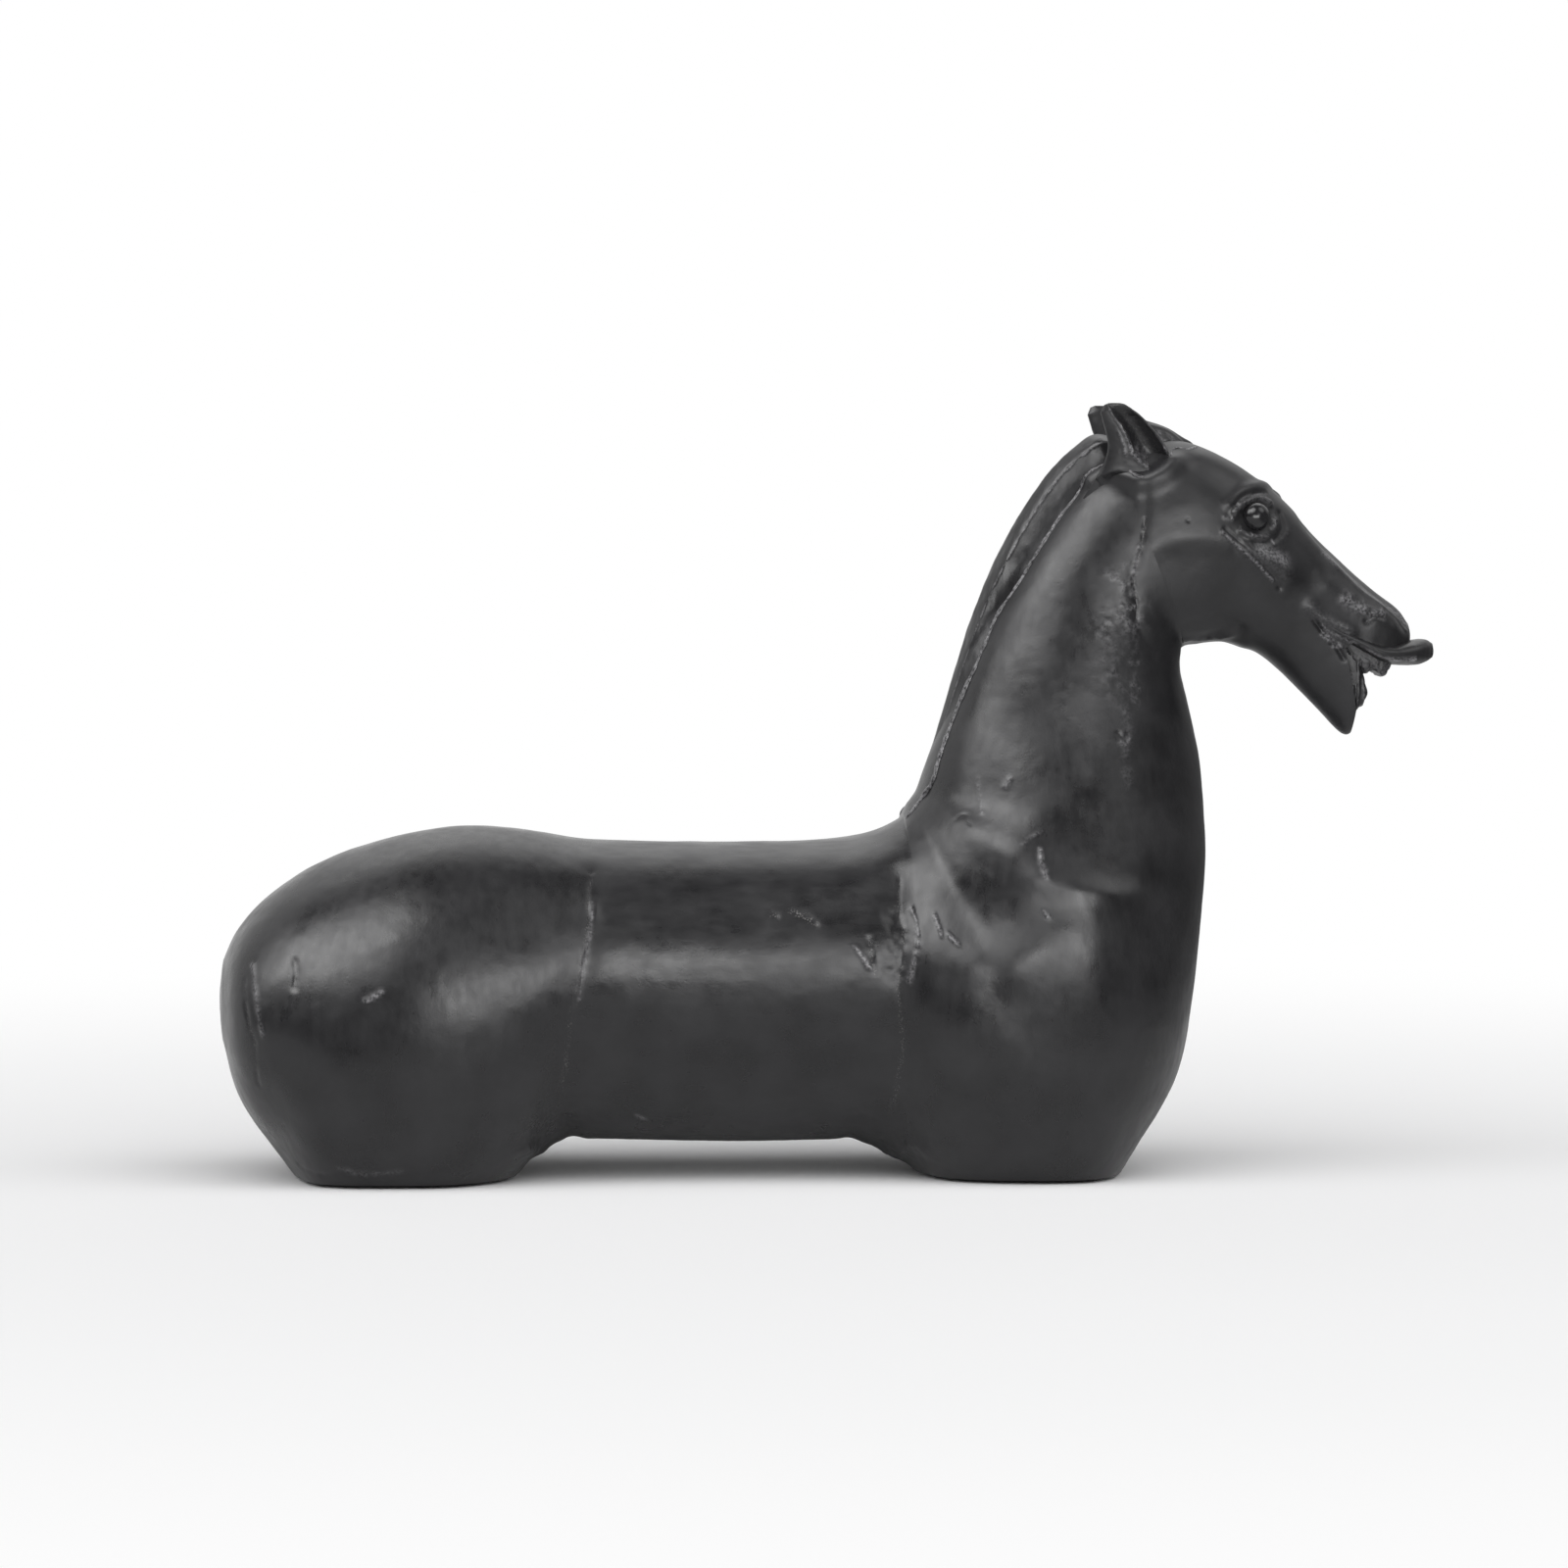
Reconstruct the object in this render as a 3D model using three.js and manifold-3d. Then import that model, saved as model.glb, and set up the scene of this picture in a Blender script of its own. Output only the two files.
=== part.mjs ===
// A horse figurine without legs: hollow castings that stand on two flat-cut stubs, with a clipped
// mane, cupped ears and an open mouth. Sizes are in millimetres. X runs from the rump to the lip,
// Y to the horse's left and Z up. The origin is on the ground, midway between rump and lip.
import * as THREE from 'three';
import { mergeVertices } from 'three/addons/utils/BufferGeometryUtils.js';
import Module from 'manifold-3d';

const wasm = await Module();
wasm.setup();

// Lengths along the horse
const HIND_LENGTH = 154; // rump end to the flank joint, along the back
const BARREL_LENGTH = 129.5; // flank joint to the girth joint
const FORE_LENGTH = 129.5; // girth joint to the front of the chest
const POLL_REACH = 90.5; // girth joint to the poll, where head and neck meet on top
const HEAD_LENGTH = 125.5; // poll to the end of the nose, measured level
const LIP_REACH = 10; // the lip tip ahead of the nose

// Heights
const BACK_HEIGHT = 140; // ground to the middle of the back
const NECK_RISE = 159; // middle of the back to the poll
const HEAD_DEPTH = 112; // poll down to the chin

// Widths across the horse
const RUMP_WIDTH = 144;
const BARREL_WIDTH = 112;
const CHEST_WIDTH = 146;
const NECK_WIDTH = 96; // at the neck base, where the neck is widest
const HEAD_WIDTH = 58; // across the cheeks

// Walls and joints of the castings
const WALL = 5;
const LAP = 9; // length of the lip that enters the next casting
const CLEARANCE = 0.3; // gap between any two pieces
const PAD_THICKNESS = 1.5;
const PAD_INSET = 3; // pad edge inside the stub edge

// Mane, forelock and ears
const MANE_HEIGHT = 13.2; // above the neck, at the poll
const MANE_START_HEIGHT = 0.5; // above the withers, where it begins
const MANE_WIDTH = 36; // at its foot, at the poll
const MANE_START_WIDTH = 20; // at its foot, where it begins
const MANE_ROOT = 5; // how far its foot wraps down the neck
const FORELOCK_WIDTH = 24;
const FORELOCK_THICKNESS = 4.5;
const EAR_LENGTH = 35;
const EAR_WIDTH = 26;
const EAR_THICKNESS = 9;
const EAR_SPACING = 34; // between the two ear roots
const EAR_LEAN = 21; // degrees, tip to the rear
const EAR_SPLAY = 12; // degrees, tip outward
const EAR_RIM = 1.8; // wall left around the cup
const EAR_CUP_LENGTH = 26;
const EAR_CUP_START = 5; // from the root up to the cup
const EAR_DRIFT = 5; // how far the tip lies behind the middle of the root

// Eyes, mouth and teeth
const EYE_DIAMETER = 10;
const EYE_DEPTH = 2.4; // centre of the ball below the skin
const LIP_OVERHANG = 2.6; // lip edge outside the jaw
const LIP_THICKNESS = 8;
const TEETH_WIDTH = 22;
const TONGUE_WIDTH = 17;

// Fineness of the surfaces
const SKIN_POINTS = 28; // around one section
const SKIN_STEPS = 2; // rings from one section to the next
const BLOCK_SIZE = 900; // cutting blocks, larger than the whole horse

const GIRTH_X = HIND_LENGTH + BARREL_LENGTH;
const POLL_X = GIRTH_X + POLL_REACH;
const POLL_HEIGHT = BACK_HEIGHT + NECK_RISE;
const NOSE_X = POLL_X + HEAD_LENGTH;
const OVERALL_LENGTH = NOSE_X + LIP_REACH;

// Landmarks, as shares of the stretch that they lie on
const hindAt = (along, up) => new THREE.Vector2(along * HIND_LENGTH, up * BACK_HEIGHT);
const barrelAt = (along, up) => new THREE.Vector2(HIND_LENGTH + along * BARREL_LENGTH, up * BACK_HEIGHT);
const foreAt = (along, up) => new THREE.Vector2(GIRTH_X + along * FORE_LENGTH, up * BACK_HEIGHT);
const neckAt = (along, up) => new THREE.Vector2(GIRTH_X + along * FORE_LENGTH, BACK_HEIGHT + up * NECK_RISE);
const crestAt = (along, up) => new THREE.Vector2(GIRTH_X + along * POLL_REACH, BACK_HEIGHT + up * NECK_RISE);
const headAt = (along, up) => new THREE.Vector2(POLL_X + along * HEAD_LENGTH, POLL_HEIGHT + up * HEAD_DEPTH);

// A section is a closed curve in a plane that holds a point of the back line, a point of the
// under line and the Y direction. crest and keel say how round its top and bottom are: 0.5 and
// 0.5 give an ellipse, less is squarer and more is narrower.
const section = (top, bottom, width, crest, keel) => ({ top, bottom, halfWidth: width / 2, crest, keel });

const HIND = [
  section(hindAt(0.01, 0.65), hindAt(0.008, 0.41), 0.3 * RUMP_WIDTH, 0.5, 0.5),
  section(hindAt(0.048, 0.742), hindAt(0.05, 0.245), 0.58 * RUMP_WIDTH, 0.5, 0.48),
  section(hindAt(0.137, 0.847), hindAt(0.145, 0.085), 0.79 * RUMP_WIDTH, 0.5, 0.45),
  section(hindAt(0.28, 0.948), hindAt(0.275, -0.08), 0.93 * RUMP_WIDTH, 0.5, 0.4),
  section(hindAt(0.48, 1.02), hindAt(0.45, -0.1), RUMP_WIDTH, 0.48, 0.38),
  section(hindAt(0.68, 1.05), hindAt(0.62, -0.1), 0.98 * RUMP_WIDTH, 0.48, 0.38),
  section(hindAt(0.857, 1.032), hindAt(0.79, -0.007), 0.88 * RUMP_WIDTH, 0.48, 0.42),
];
const FLANK = section(hindAt(1, 1.007), hindAt(0.903, 0.104), 0.8 * RUMP_WIDTH, 0.48, 0.48);
const BARREL = [
  section(barrelAt(0.3, 0.998), barrelAt(0.28, 0.1), BARREL_WIDTH, 0.48, 0.48),
  section(barrelAt(0.62, 1), barrelAt(0.6, 0.1), BARREL_WIDTH, 0.48, 0.48),
  section(barrelAt(0.87, 1.015), barrelAt(0.83, 0.1), 1.01 * BARREL_WIDTH, 0.48, 0.48),
];
const GIRTH = section(foreAt(0, 1.064), foreAt(0, 0.05), 0.8 * CHEST_WIDTH, 0.5, 0.45);
const FORE = [
  section(foreAt(0.012, 1.082), foreAt(0.16, -0.07), 0.89 * CHEST_WIDTH, 0.52, 0.4),
  section(foreAt(0.019, 1.096), foreAt(0.39, -0.1), 0.96 * CHEST_WIDTH, 0.54, 0.38),
  section(foreAt(0.027, 1.111), foreAt(0.635, -0.08), 0.99 * CHEST_WIDTH, 0.56, 0.38),
  section(foreAt(0.035, 1.121), foreAt(0.77, 0.088), CHEST_WIDTH, 0.58, 0.4),
  section(foreAt(0.043, 1.132), foreAt(0.907, 0.3), 0.98 * CHEST_WIDTH, 0.6, 0.44),
  section(foreAt(0.051, 1.143), foreAt(0.965, 0.586), 0.9 * CHEST_WIDTH, 0.6, 0.48),
];
const NECK_BASE = section(foreAt(0.062, 1.164), foreAt(1, 0.914), NECK_WIDTH * 1.14, 0.58, 0.5);
const NECK = [
  section(crestAt(0.149, 0.241), neckAt(0.997, 0.076), 0.99 * NECK_WIDTH, 0.54, 0.5),
  section(crestAt(0.232, 0.354), neckAt(0.981, 0.209), 0.86 * NECK_WIDTH, 0.52, 0.5),
  section(crestAt(0.337, 0.491), neckAt(0.949, 0.335), 0.76 * NECK_WIDTH, 0.5, 0.5),
  section(crestAt(0.453, 0.62), neckAt(0.922, 0.424), 0.68 * NECK_WIDTH, 0.5, 0.48),
  section(crestAt(0.586, 0.744), neckAt(0.916, 0.468), 0.62 * NECK_WIDTH, 0.48, 0.46),
  section(crestAt(0.785, 0.905), neckAt(0.919, 0.491), 0.58 * NECK_WIDTH, 0.46, 0.46),
];
const THROAT = section(crestAt(0.978, 1.003), headAt(0.231, -0.7), 0.96 * HEAD_WIDTH, 0.44, 0.45);
const HEAD = [
  section(headAt(0.105, 0.076), headAt(0.275, -0.679), HEAD_WIDTH, 0.4, 0.45),
  section(headAt(0.235, 0.075), headAt(0.348, -0.67), HEAD_WIDTH, 0.36, 0.45),
  section(headAt(0.372, 0.013), headAt(0.421, -0.688), 0.94 * HEAD_WIDTH, 0.34, 0.46),
  section(headAt(0.494, -0.077), headAt(0.494, -0.727), 0.84 * HEAD_WIDTH, 0.33, 0.48),
  section(headAt(0.591, -0.173), headAt(0.559, -0.787), 0.73 * HEAD_WIDTH, 0.33, 0.5),
  section(headAt(0.672, -0.275), headAt(0.623, -0.858), 0.64 * HEAD_WIDTH, 0.32, 0.5),
  section(headAt(0.745, -0.354), headAt(0.696, -0.94), 0.58 * HEAD_WIDTH, 0.3, 0.5),
  section(headAt(0.818, -0.428), headAt(0.782, -1.035), 0.54 * HEAD_WIDTH, 0.3, 0.5),
  section(headAt(0.895, -0.498), headAt(0.83, -0.985), 0.52 * HEAD_WIDTH, 0.32, 0.48),
  section(headAt(0.96, -0.554), headAt(0.91, -0.875), 0.45 * HEAD_WIDTH, 0.38, 0.45),
  section(headAt(0.995, -0.61), headAt(0.975, -0.75), 0.28 * HEAD_WIDTH, 0.45, 0.45),
];
const RUMP_POLE = hindAt(0, 0.53);
const NOSE_POLE = headAt(1, -0.68);
const BODY = [...HIND, FLANK, ...BARREL, GIRTH, ...FORE, NECK_BASE, ...NECK, THROAT, ...HEAD];

// The hollow runs from inside the rump to inside the head
const HOLLOW_START = 2; // section of the body
const HOLLOW_END = BODY.indexOf(THROAT) + 3;

const toSpace = (point, y = 0) => new THREE.Vector3(point.x, y, point.y);

// The section's width at a share of the way down, where the widest is 1
function bulge({ crest, keel }, share) {
  const sum = crest + keel;
  const peak = (crest / sum) ** crest * (keel / sum) ** keel;
  return (share ** crest * (1 - share) ** keel) / peak;
}

// One ring of points on a section, drawn in by an inset or grown by a negative one
function ring(shape, inset, count) {
  const down = shape.bottom.clone().sub(shape.top).normalize();
  const top = shape.top.clone().addScaledVector(down, inset);
  const bottom = shape.bottom.clone().addScaledVector(down, -inset);
  const points = [];
  for (let i = 0; i < count; i += 1) {
    const turn = (2 * Math.PI * i) / count;
    const share = (1 - Math.cos(turn)) / 2;
    const side = -Math.sign(Math.round(Math.sin(turn) * 1e6));
    const y = side * bulge(shape, share) * (shape.halfWidth - inset);
    points.push(toSpace(top.clone().lerp(bottom, share), y));
  }
  return points;
}

// Sections in between, on smooth curves through the given ones
function refine(sections, steps) {
  const curveOf = (pick) => new THREE.CatmullRomCurve3(sections.map(pick), false, 'catmullrom', 0.5);
  const tops = curveOf((s) => toSpace(s.top));
  const bottoms = curveOf((s) => toSpace(s.bottom));
  const forms = curveOf((s) => new THREE.Vector3(s.halfWidth, s.crest, s.keel));
  const count = (sections.length - 1) * steps;
  return Array.from({ length: count + 1 }, (_, i) => {
    const top = tops.getPoint(i / count);
    const bottom = bottoms.getPoint(i / count);
    const form = forms.getPoint(i / count);
    return {
      top: new THREE.Vector2(top.x, top.z),
      bottom: new THREE.Vector2(bottom.x, bottom.z),
      halfWidth: form.x,
      crest: form.y,
      keel: form.z,
    };
  });
}

// A closed skin over rings of equal count, with a fan to a point at each end
function skin(rings, start, end) {
  const count = rings[0].length;
  const points = [...rings.flat(), start, end];
  const faces = [];
  const at = (row, i) => row * count + (i % count);
  for (let i = 0; i < count; i += 1) {
    for (let row = 0; row + 1 < rings.length; row += 1) {
      faces.push(at(row, i), at(row, i + 1), at(row + 1, i + 1));
      faces.push(at(row, i), at(row + 1, i + 1), at(row + 1, i));
    }
    faces.push(at(0, i + 1), at(0, i), points.length - 2);
    faces.push(at(rings.length - 1, i), at(rings.length - 1, i + 1), points.length - 1);
  }
  const geometry = new THREE.BufferGeometry().setFromPoints(points);
  geometry.setIndex(faces);
  return geometry;
}

function middle(points) {
  const sum = points.reduce((total, p) => total.add(p), new THREE.Vector3());
  return sum.divideScalar(points.length);
}

const flatSkin = (rings) => skin(rings, middle(rings[0]), middle(rings[rings.length - 1]));

// Solids, for cutting and joining
function solid(geometry, matrix = new THREE.Matrix4()) {
  const bare = geometry.clone().applyMatrix4(matrix);
  bare.deleteAttribute('normal');
  bare.deleteAttribute('uv');
  const welded = mergeVertices(bare, 1e-4);
  const mesh = new wasm.Mesh({
    numProp: 3,
    vertProperties: new Float32Array(welded.attributes.position.array),
    triVerts: new Uint32Array(welded.index.array),
  });
  return new wasm.Manifold(mesh);
}

function geometryOf(body) {
  const mesh = body.getMesh();
  const geometry = new THREE.BufferGeometry();
  geometry.setAttribute('position', new THREE.BufferAttribute(new Float32Array(mesh.vertProperties), 3));
  geometry.setIndex(new THREE.BufferAttribute(new Uint32Array(mesh.triVerts), 1));
  geometry.computeVertexNormals();
  return geometry;
}

// The whole horse as one skin, drawn in by an inset
function body(inset) {
  const rings = refine(BODY, SKIN_STEPS).map((shape) => ring(shape, inset, SKIN_POINTS));
  return solid(skin(rings, toSpace(RUMP_POLE), toSpace(NOSE_POLE)));
}

function hollow() {
  const shapes = BODY.slice(HOLLOW_START, HOLLOW_END);
  return solid(flatSkin(shapes.map((shape) => ring(shape, WALL, SKIN_POINTS))));
}

// The plane of a joint: its middle, and the direction from rump to head across it
function jointPlane(shape) {
  const down = shape.bottom.clone().sub(shape.top).normalize();
  return {
    middle: toSpace(shape.top.clone().lerp(shape.bottom, 0.5)),
    ahead: new THREE.Vector3(-down.y, 0, down.x),
  };
}

// A block that fills one side of a joint's plane: side 1 is ahead of it, side -1 behind
function block(shape, side, offset = 0) {
  const { middle: centre, ahead } = jointPlane(shape);
  const turn = new THREE.Quaternion().setFromUnitVectors(new THREE.Vector3(1, 0, 0), ahead);
  const place = centre.addScaledVector(ahead, offset + (side * BLOCK_SIZE) / 2);
  const matrix = new THREE.Matrix4().compose(place, turn, new THREE.Vector3(1, 1, 1));
  return solid(new THREE.BoxGeometry(BLOCK_SIZE, BLOCK_SIZE, BLOCK_SIZE), matrix);
}

function ground(height) {
  const matrix = new THREE.Matrix4().makeTranslation(0, 0, height - BLOCK_SIZE / 2);
  return solid(new THREE.BoxGeometry(BLOCK_SIZE * 2, BLOCK_SIZE, BLOCK_SIZE), matrix);
}

// A straight plug with the outline of a joint, between two distances along its axis
function plug(shape, inset, from, to) {
  const { ahead } = jointPlane(shape);
  const outline = ring(shape, inset, SKIN_POINTS);
  const shifted = (distance) => outline.map((p) => p.clone().addScaledVector(ahead, distance));
  return solid(flatSkin([shifted(Math.min(from, to)), shifted(Math.max(from, to))]));
}

const LIP_TOP = (WALL + CLEARANCE) / 2; // depth of the lip's outer face below the skin
const LIP_BORE = WALL - CLEARANCE; // depth of its inner face, clear of the wall's own
const LIP_ROOT = LAP / 2; // how far the lip reaches back into its own wall

// The lip points ahead with side 1 and to the rear with side -1
const lip = (shape, side) =>
  plug(shape, LIP_TOP, -side * LIP_ROOT, side * LAP).subtract(plug(shape, LIP_BORE, -2 * LAP, 2 * LAP));
const recess = (shape, side) => plug(shape, LIP_TOP - CLEARANCE, -side * LAP, side * (LAP + CLEARANCE));

// Each casting is the shell between two joints, and the narrower one has the lip
const whole = body(0);
const grown = body(-CLEARANCE);
const inside = hollow().subtract(ground(PAD_THICKNESS + WALL));
const shell = whole.subtract(inside).subtract(ground(PAD_THICKNESS));
const between = (rear, front) => shell.intersect(block(rear, 1, CLEARANCE)).intersect(block(front, -1));

function hindquarters() {
  return shell.intersect(block(FLANK, -1)).subtract(recess(FLANK, -1));
}

function barrel() {
  return between(FLANK, GIRTH).add(lip(FLANK, -1)).add(lip(GIRTH, 1));
}

function forequarters() {
  return between(GIRTH, NECK_BASE).subtract(recess(GIRTH, 1)).subtract(recess(NECK_BASE, -1));
}

function neck() {
  return between(NECK_BASE, THROAT).add(lip(NECK_BASE, -1)).add(lip(THROAT, 1));
}

// Outlines in the plane of symmetry, made into solids right across the head
function across(points, width = HEAD_WIDTH * 2) {
  const shape = new THREE.Shape(points.map((p) => new THREE.Vector2(p.x, p.y)));
  const geometry = new THREE.ExtrudeGeometry(shape, { depth: width, bevelEnabled: false });
  const matrix = new THREE.Matrix4().makeRotationX(Math.PI / 2);
  matrix.premultiply(new THREE.Matrix4().makeTranslation(0, width / 2, 0));
  return solid(geometry, matrix);
}

// The mouth's outline: its corner, its roof under the upper jaw and the lower jaw's front edge
const MOUTH_CORNER = headAt(0.67, -0.6);
const MOUTH_ROOF = [headAt(0.76, -0.66), headAt(1, -0.74), headAt(1.4, -0.78)];
const JAW_FRONT = [headAt(0.85, -1.4), headAt(0.8, -1.03), headAt(0.81, -0.935), headAt(0.77, -0.725)];
const JAW_HEEL = headAt(0.53, -0.77); // where the jaw's joint meets the under line
const BELOW_HEEL = headAt(0.45, -1.4);

const moved = (points, x, z) => points.map((p) => p.clone().add(new THREE.Vector2(x, z)));
const mouth = (gap = 0) => across([MOUTH_CORNER, ...moved(MOUTH_ROOF, 0, -gap), ...moved(JAW_FRONT, gap, 0)]);
const jawOutline = (front = 0) => across([MOUTH_CORNER, JAW_HEEL, BELOW_HEEL, ...moved(JAW_FRONT, front, 0)]);
const UPPER_JAW_EDGE = [
  ...moved([BELOW_HEEL, JAW_HEEL], -CLEARANCE, 0),
  ...moved([MOUTH_CORNER], -CLEARANCE, CLEARANCE),
  ...MOUTH_ROOF,
];
const belowUpperJaw = () => across([...UPPER_JAW_EDGE, headAt(1.4, -1.4)]);

// An ellipsoid with the given full size
function lump(centre, size, segments = 16) {
  const matrix = new THREE.Matrix4().makeScale(size.x / 2, size.y / 2, size.z / 2);
  matrix.setPosition(centre);
  return solid(new THREE.SphereGeometry(1, segments, segments * 0.75), matrix);
}

// The eye's place: in sections of the head from its first one, and as a share of the depth there
const EYE_ALONG = 2.6;
const EYE_SHARE = 0.256;
const EYE_STEPS = 10; // places from one section to the next that the eye can take
const EYE_SECTION = refine(HEAD, EYE_STEPS)[Math.round(EYE_ALONG * EYE_STEPS)];

function eye(side, gap = 0) {
  const place = EYE_SECTION.top.clone().lerp(EYE_SECTION.bottom, EYE_SHARE);
  const centre = toSpace(place, side * (EYE_SECTION.halfWidth * bulge(EYE_SECTION, EYE_SHARE) - EYE_DEPTH));
  const diameter = EYE_DIAMETER + 2 * gap;
  return lump(centre, new THREE.Vector3(diameter, diameter, diameter));
}

function skull() {
  return shell
    .intersect(block(THROAT, 1, CLEARANCE))
    .subtract(recess(THROAT, 1))
    .subtract(belowUpperJaw())
    .subtract(eye(-1, CLEARANCE))
    .subtract(eye(1, CLEARANCE));
}

const lowerJaw = () => shell.intersect(block(THROAT, 1, CLEARANCE)).intersect(jawOutline());

// The upper jaw and the rest of the skin, grown by the clearance, to seat pieces on
const seat = grown.subtract(mouth(CLEARANCE));

// A loft of sections that closes in a point at its far end
function loft(shapes, tip, inset = 0, count = SKIN_POINTS / 2) {
  const rings = refine(shapes, SKIN_STEPS).map((shape) => ring(shape, inset, count));
  return solid(skin(rings, middle(rings[0]), tip ?? middle(rings[rings.length - 1])));
}

// The lip band widens round the muzzle and closes in a tip ahead of the nose
function lipBlank(gap = 0) {
  const width = 0.52 * HEAD_WIDTH + 2 * LIP_OVERHANG;
  const slice = (x, up, wide, thick) => {
    const top = new THREE.Vector2(x, headAt(0, up).y);
    const bottom = top.clone().add(new THREE.Vector2(0, -thick * LIP_THICKNESS));
    return section(top, bottom, wide * width, 0.3, 0.3);
  };
  const tip = NOSE_X + LIP_REACH;
  const shapes = [
    slice(headAt(0.71, 0).x, -0.623, 0.9, 0.45),
    slice(headAt(0.8, 0).x, -0.663, 1, 0.65),
    slice(headAt(0.9, 0).x, -0.69, 1, 1),
    slice(NOSE_X, -0.673, 0.84, 1.35),
    slice(NOSE_X + 0.6 * LIP_REACH, -0.669, 0.62, 1.25),
    slice(NOSE_X + 0.93 * LIP_REACH, -0.683, 0.34, 0.8),
  ];
  return loft(shapes, new THREE.Vector3(tip + gap, 0, headAt(0, -0.715).y), -gap);
}

const upperLip = () => lipBlank().subtract(seat);

// The upper teeth: a bar under the lip band, from the corner of the mouth to the front teeth
const UPPER_TEETH = [
  headAt(0.7, -0.6),
  headAt(0.945, -0.68),
  headAt(0.93, -0.77),
  headAt(0.905, -0.81),
  headAt(0.834, -0.795),
  headAt(0.76, -0.71),
];
const upperTeeth = () => across(UPPER_TEETH, TEETH_WIDTH).subtract(seat).subtract(lipBlank(CLEARANCE));

// The tongue: it fills the mouth behind the teeth and hangs over the front of the lower jaw
const TONGUE = [
  headAt(0.69, -0.64),
  headAt(0.75, -0.725),
  headAt(0.826, -0.808),
  headAt(0.842, -0.88),
  headAt(0.828, -0.915),
  headAt(0.795, -0.935),
  headAt(0.735, -0.83),
];
const tongue = () => across(TONGUE, TONGUE_WIDTH).subtract(grown.intersect(jawOutline(CLEARANCE)));

// An ear: a leaf that narrows to a tip at its rear edge, with a cup in its outer face
const EAR_ROOT = headAt(0.095, -0.06);
const EAR_POINTS = 20;
const EAR_FORM = [
  { up: 0, wide: 0.95, thick: 1 },
  { up: 0.25, wide: 0.92, thick: 0.95 },
  { up: 0.5, wide: 0.78, thick: 0.8 },
  { up: 0.75, wide: 0.58, thick: 0.6 },
  { up: 0.92, wide: 0.36, thick: 0.45 },
];
const earDrift = (up) => -EAR_DRIFT * up ** 3; // the leaf bends to the rear

function earPlace(side) {
  const lean = new THREE.Matrix4().makeRotationY(-THREE.MathUtils.degToRad(EAR_LEAN));
  const splay = new THREE.Matrix4().makeRotationX(-side * THREE.MathUtils.degToRad(EAR_SPLAY));
  const place = new THREE.Matrix4().setPosition(toSpace(EAR_ROOT, (side * EAR_SPACING) / 2));
  return place.multiply(splay).multiply(lean);
}

function earLeaf(side, gap = 0) {
  const rings = EAR_FORM.map(({ up, wide, thick }) =>
    Array.from({ length: EAR_POINTS }, (_, i) => {
      const turn = (2 * Math.PI * i) / EAR_POINTS;
      const x = earDrift(up) + Math.cos(turn) * (gap + (wide * EAR_WIDTH) / 2);
      const y = Math.sin(turn) * (gap + (thick * EAR_THICKNESS) / 2);
      return new THREE.Vector3(x, y, up * EAR_LENGTH);
    }),
  );
  const tip = new THREE.Vector3(earDrift(1), 0, EAR_LENGTH + gap);
  return solid(skin(rings, new THREE.Vector3(0, 0, -gap), tip), earPlace(side));
}

function ear(side) {
  const up = EAR_CUP_START + EAR_CUP_LENGTH / 2;
  const cup = new THREE.SphereGeometry(0.5, 16, 12);
  cup.scale(EAR_WIDTH - 2 * EAR_RIM, EAR_THICKNESS, EAR_CUP_LENGTH);
  cup.translate(earDrift(up / EAR_LENGTH), (side * EAR_THICKNESS) / 2, up);
  return earLeaf(side).subtract(solid(cup, earPlace(side))).subtract(seat);
}

const bothEars = earLeaf(-1, CLEARANCE).add(earLeaf(1, CLEARANCE));

// The mane: a strip with a flat top that stands on the crest of the neck and rises to the poll
function mane() {
  const crest = refine([NECK_BASE, ...NECK, THROAT], SKIN_STEPS).map((shape) => shape.top);
  const last = crest.length - 1;
  const rings = crest.map((foot, i) => {
    const along = crest[Math.min(i + 1, last)].clone().sub(crest[Math.max(i - 1, 0)]);
    const out = new THREE.Vector2(-along.y, along.x).normalize();
    const rise = THREE.MathUtils.smoothstep(i / last, 0.08, 0.95);
    const height = THREE.MathUtils.lerp(MANE_START_HEIGHT, MANE_HEIGHT, rise);
    const width = THREE.MathUtils.lerp(MANE_START_WIDTH, MANE_WIDTH, Math.sqrt(rise));
    const top = foot.clone().addScaledVector(out, height);
    const root = foot.clone().addScaledVector(out, -MANE_ROOT);
    return ring(section(top, root, width, 0.5, 0.12), 0, SKIN_POINTS / 2);
  });
  return solid(flatSkin(rings)).subtract(grown).subtract(bothEars);
}

// The forelock: a tuft that starts between the ears and runs out on the forehead
function forelock() {
  const tuft = (along, up, wide) => {
    const top = headAt(along, up);
    const root = top.clone().add(new THREE.Vector2(0, -4 * FORELOCK_THICKNESS));
    return section(top, root, wide * FORELOCK_WIDTH, 0.4, 0.1);
  };
  const shapes = [
    tuft(0.035, 0.14, 0.7),
    tuft(0.08, 0.165, 0.8),
    tuft(0.14, 0.145, 0.95),
    tuft(0.22, 0.118, 0.8),
    tuft(0.285, 0.085, 0.35),
  ];
  return loft(shapes).subtract(grown).subtract(bothEars);
}

// A thin pad with the outline of the stub above it; side as for a block
function pad(joint, side) {
  return body(PAD_INSET).intersect(ground(PAD_THICKNESS)).subtract(ground(0)).intersect(block(joint, side));
}

const patina = new THREE.MeshStandardMaterial({ color: 0x2b2a2d, roughness: 0.42, metalness: 0.3 });
const glossy = new THREE.MeshStandardMaterial({ color: 0x232225, roughness: 0.3, metalness: 0.3 });
const felt = new THREE.MeshStandardMaterial({ color: 0x121212, roughness: 0.95, metalness: 0 });

function piece(name, shape, material) {
  const mesh = new THREE.Mesh(geometryOf(shape), material);
  mesh.name = name;
  return mesh;
}

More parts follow.
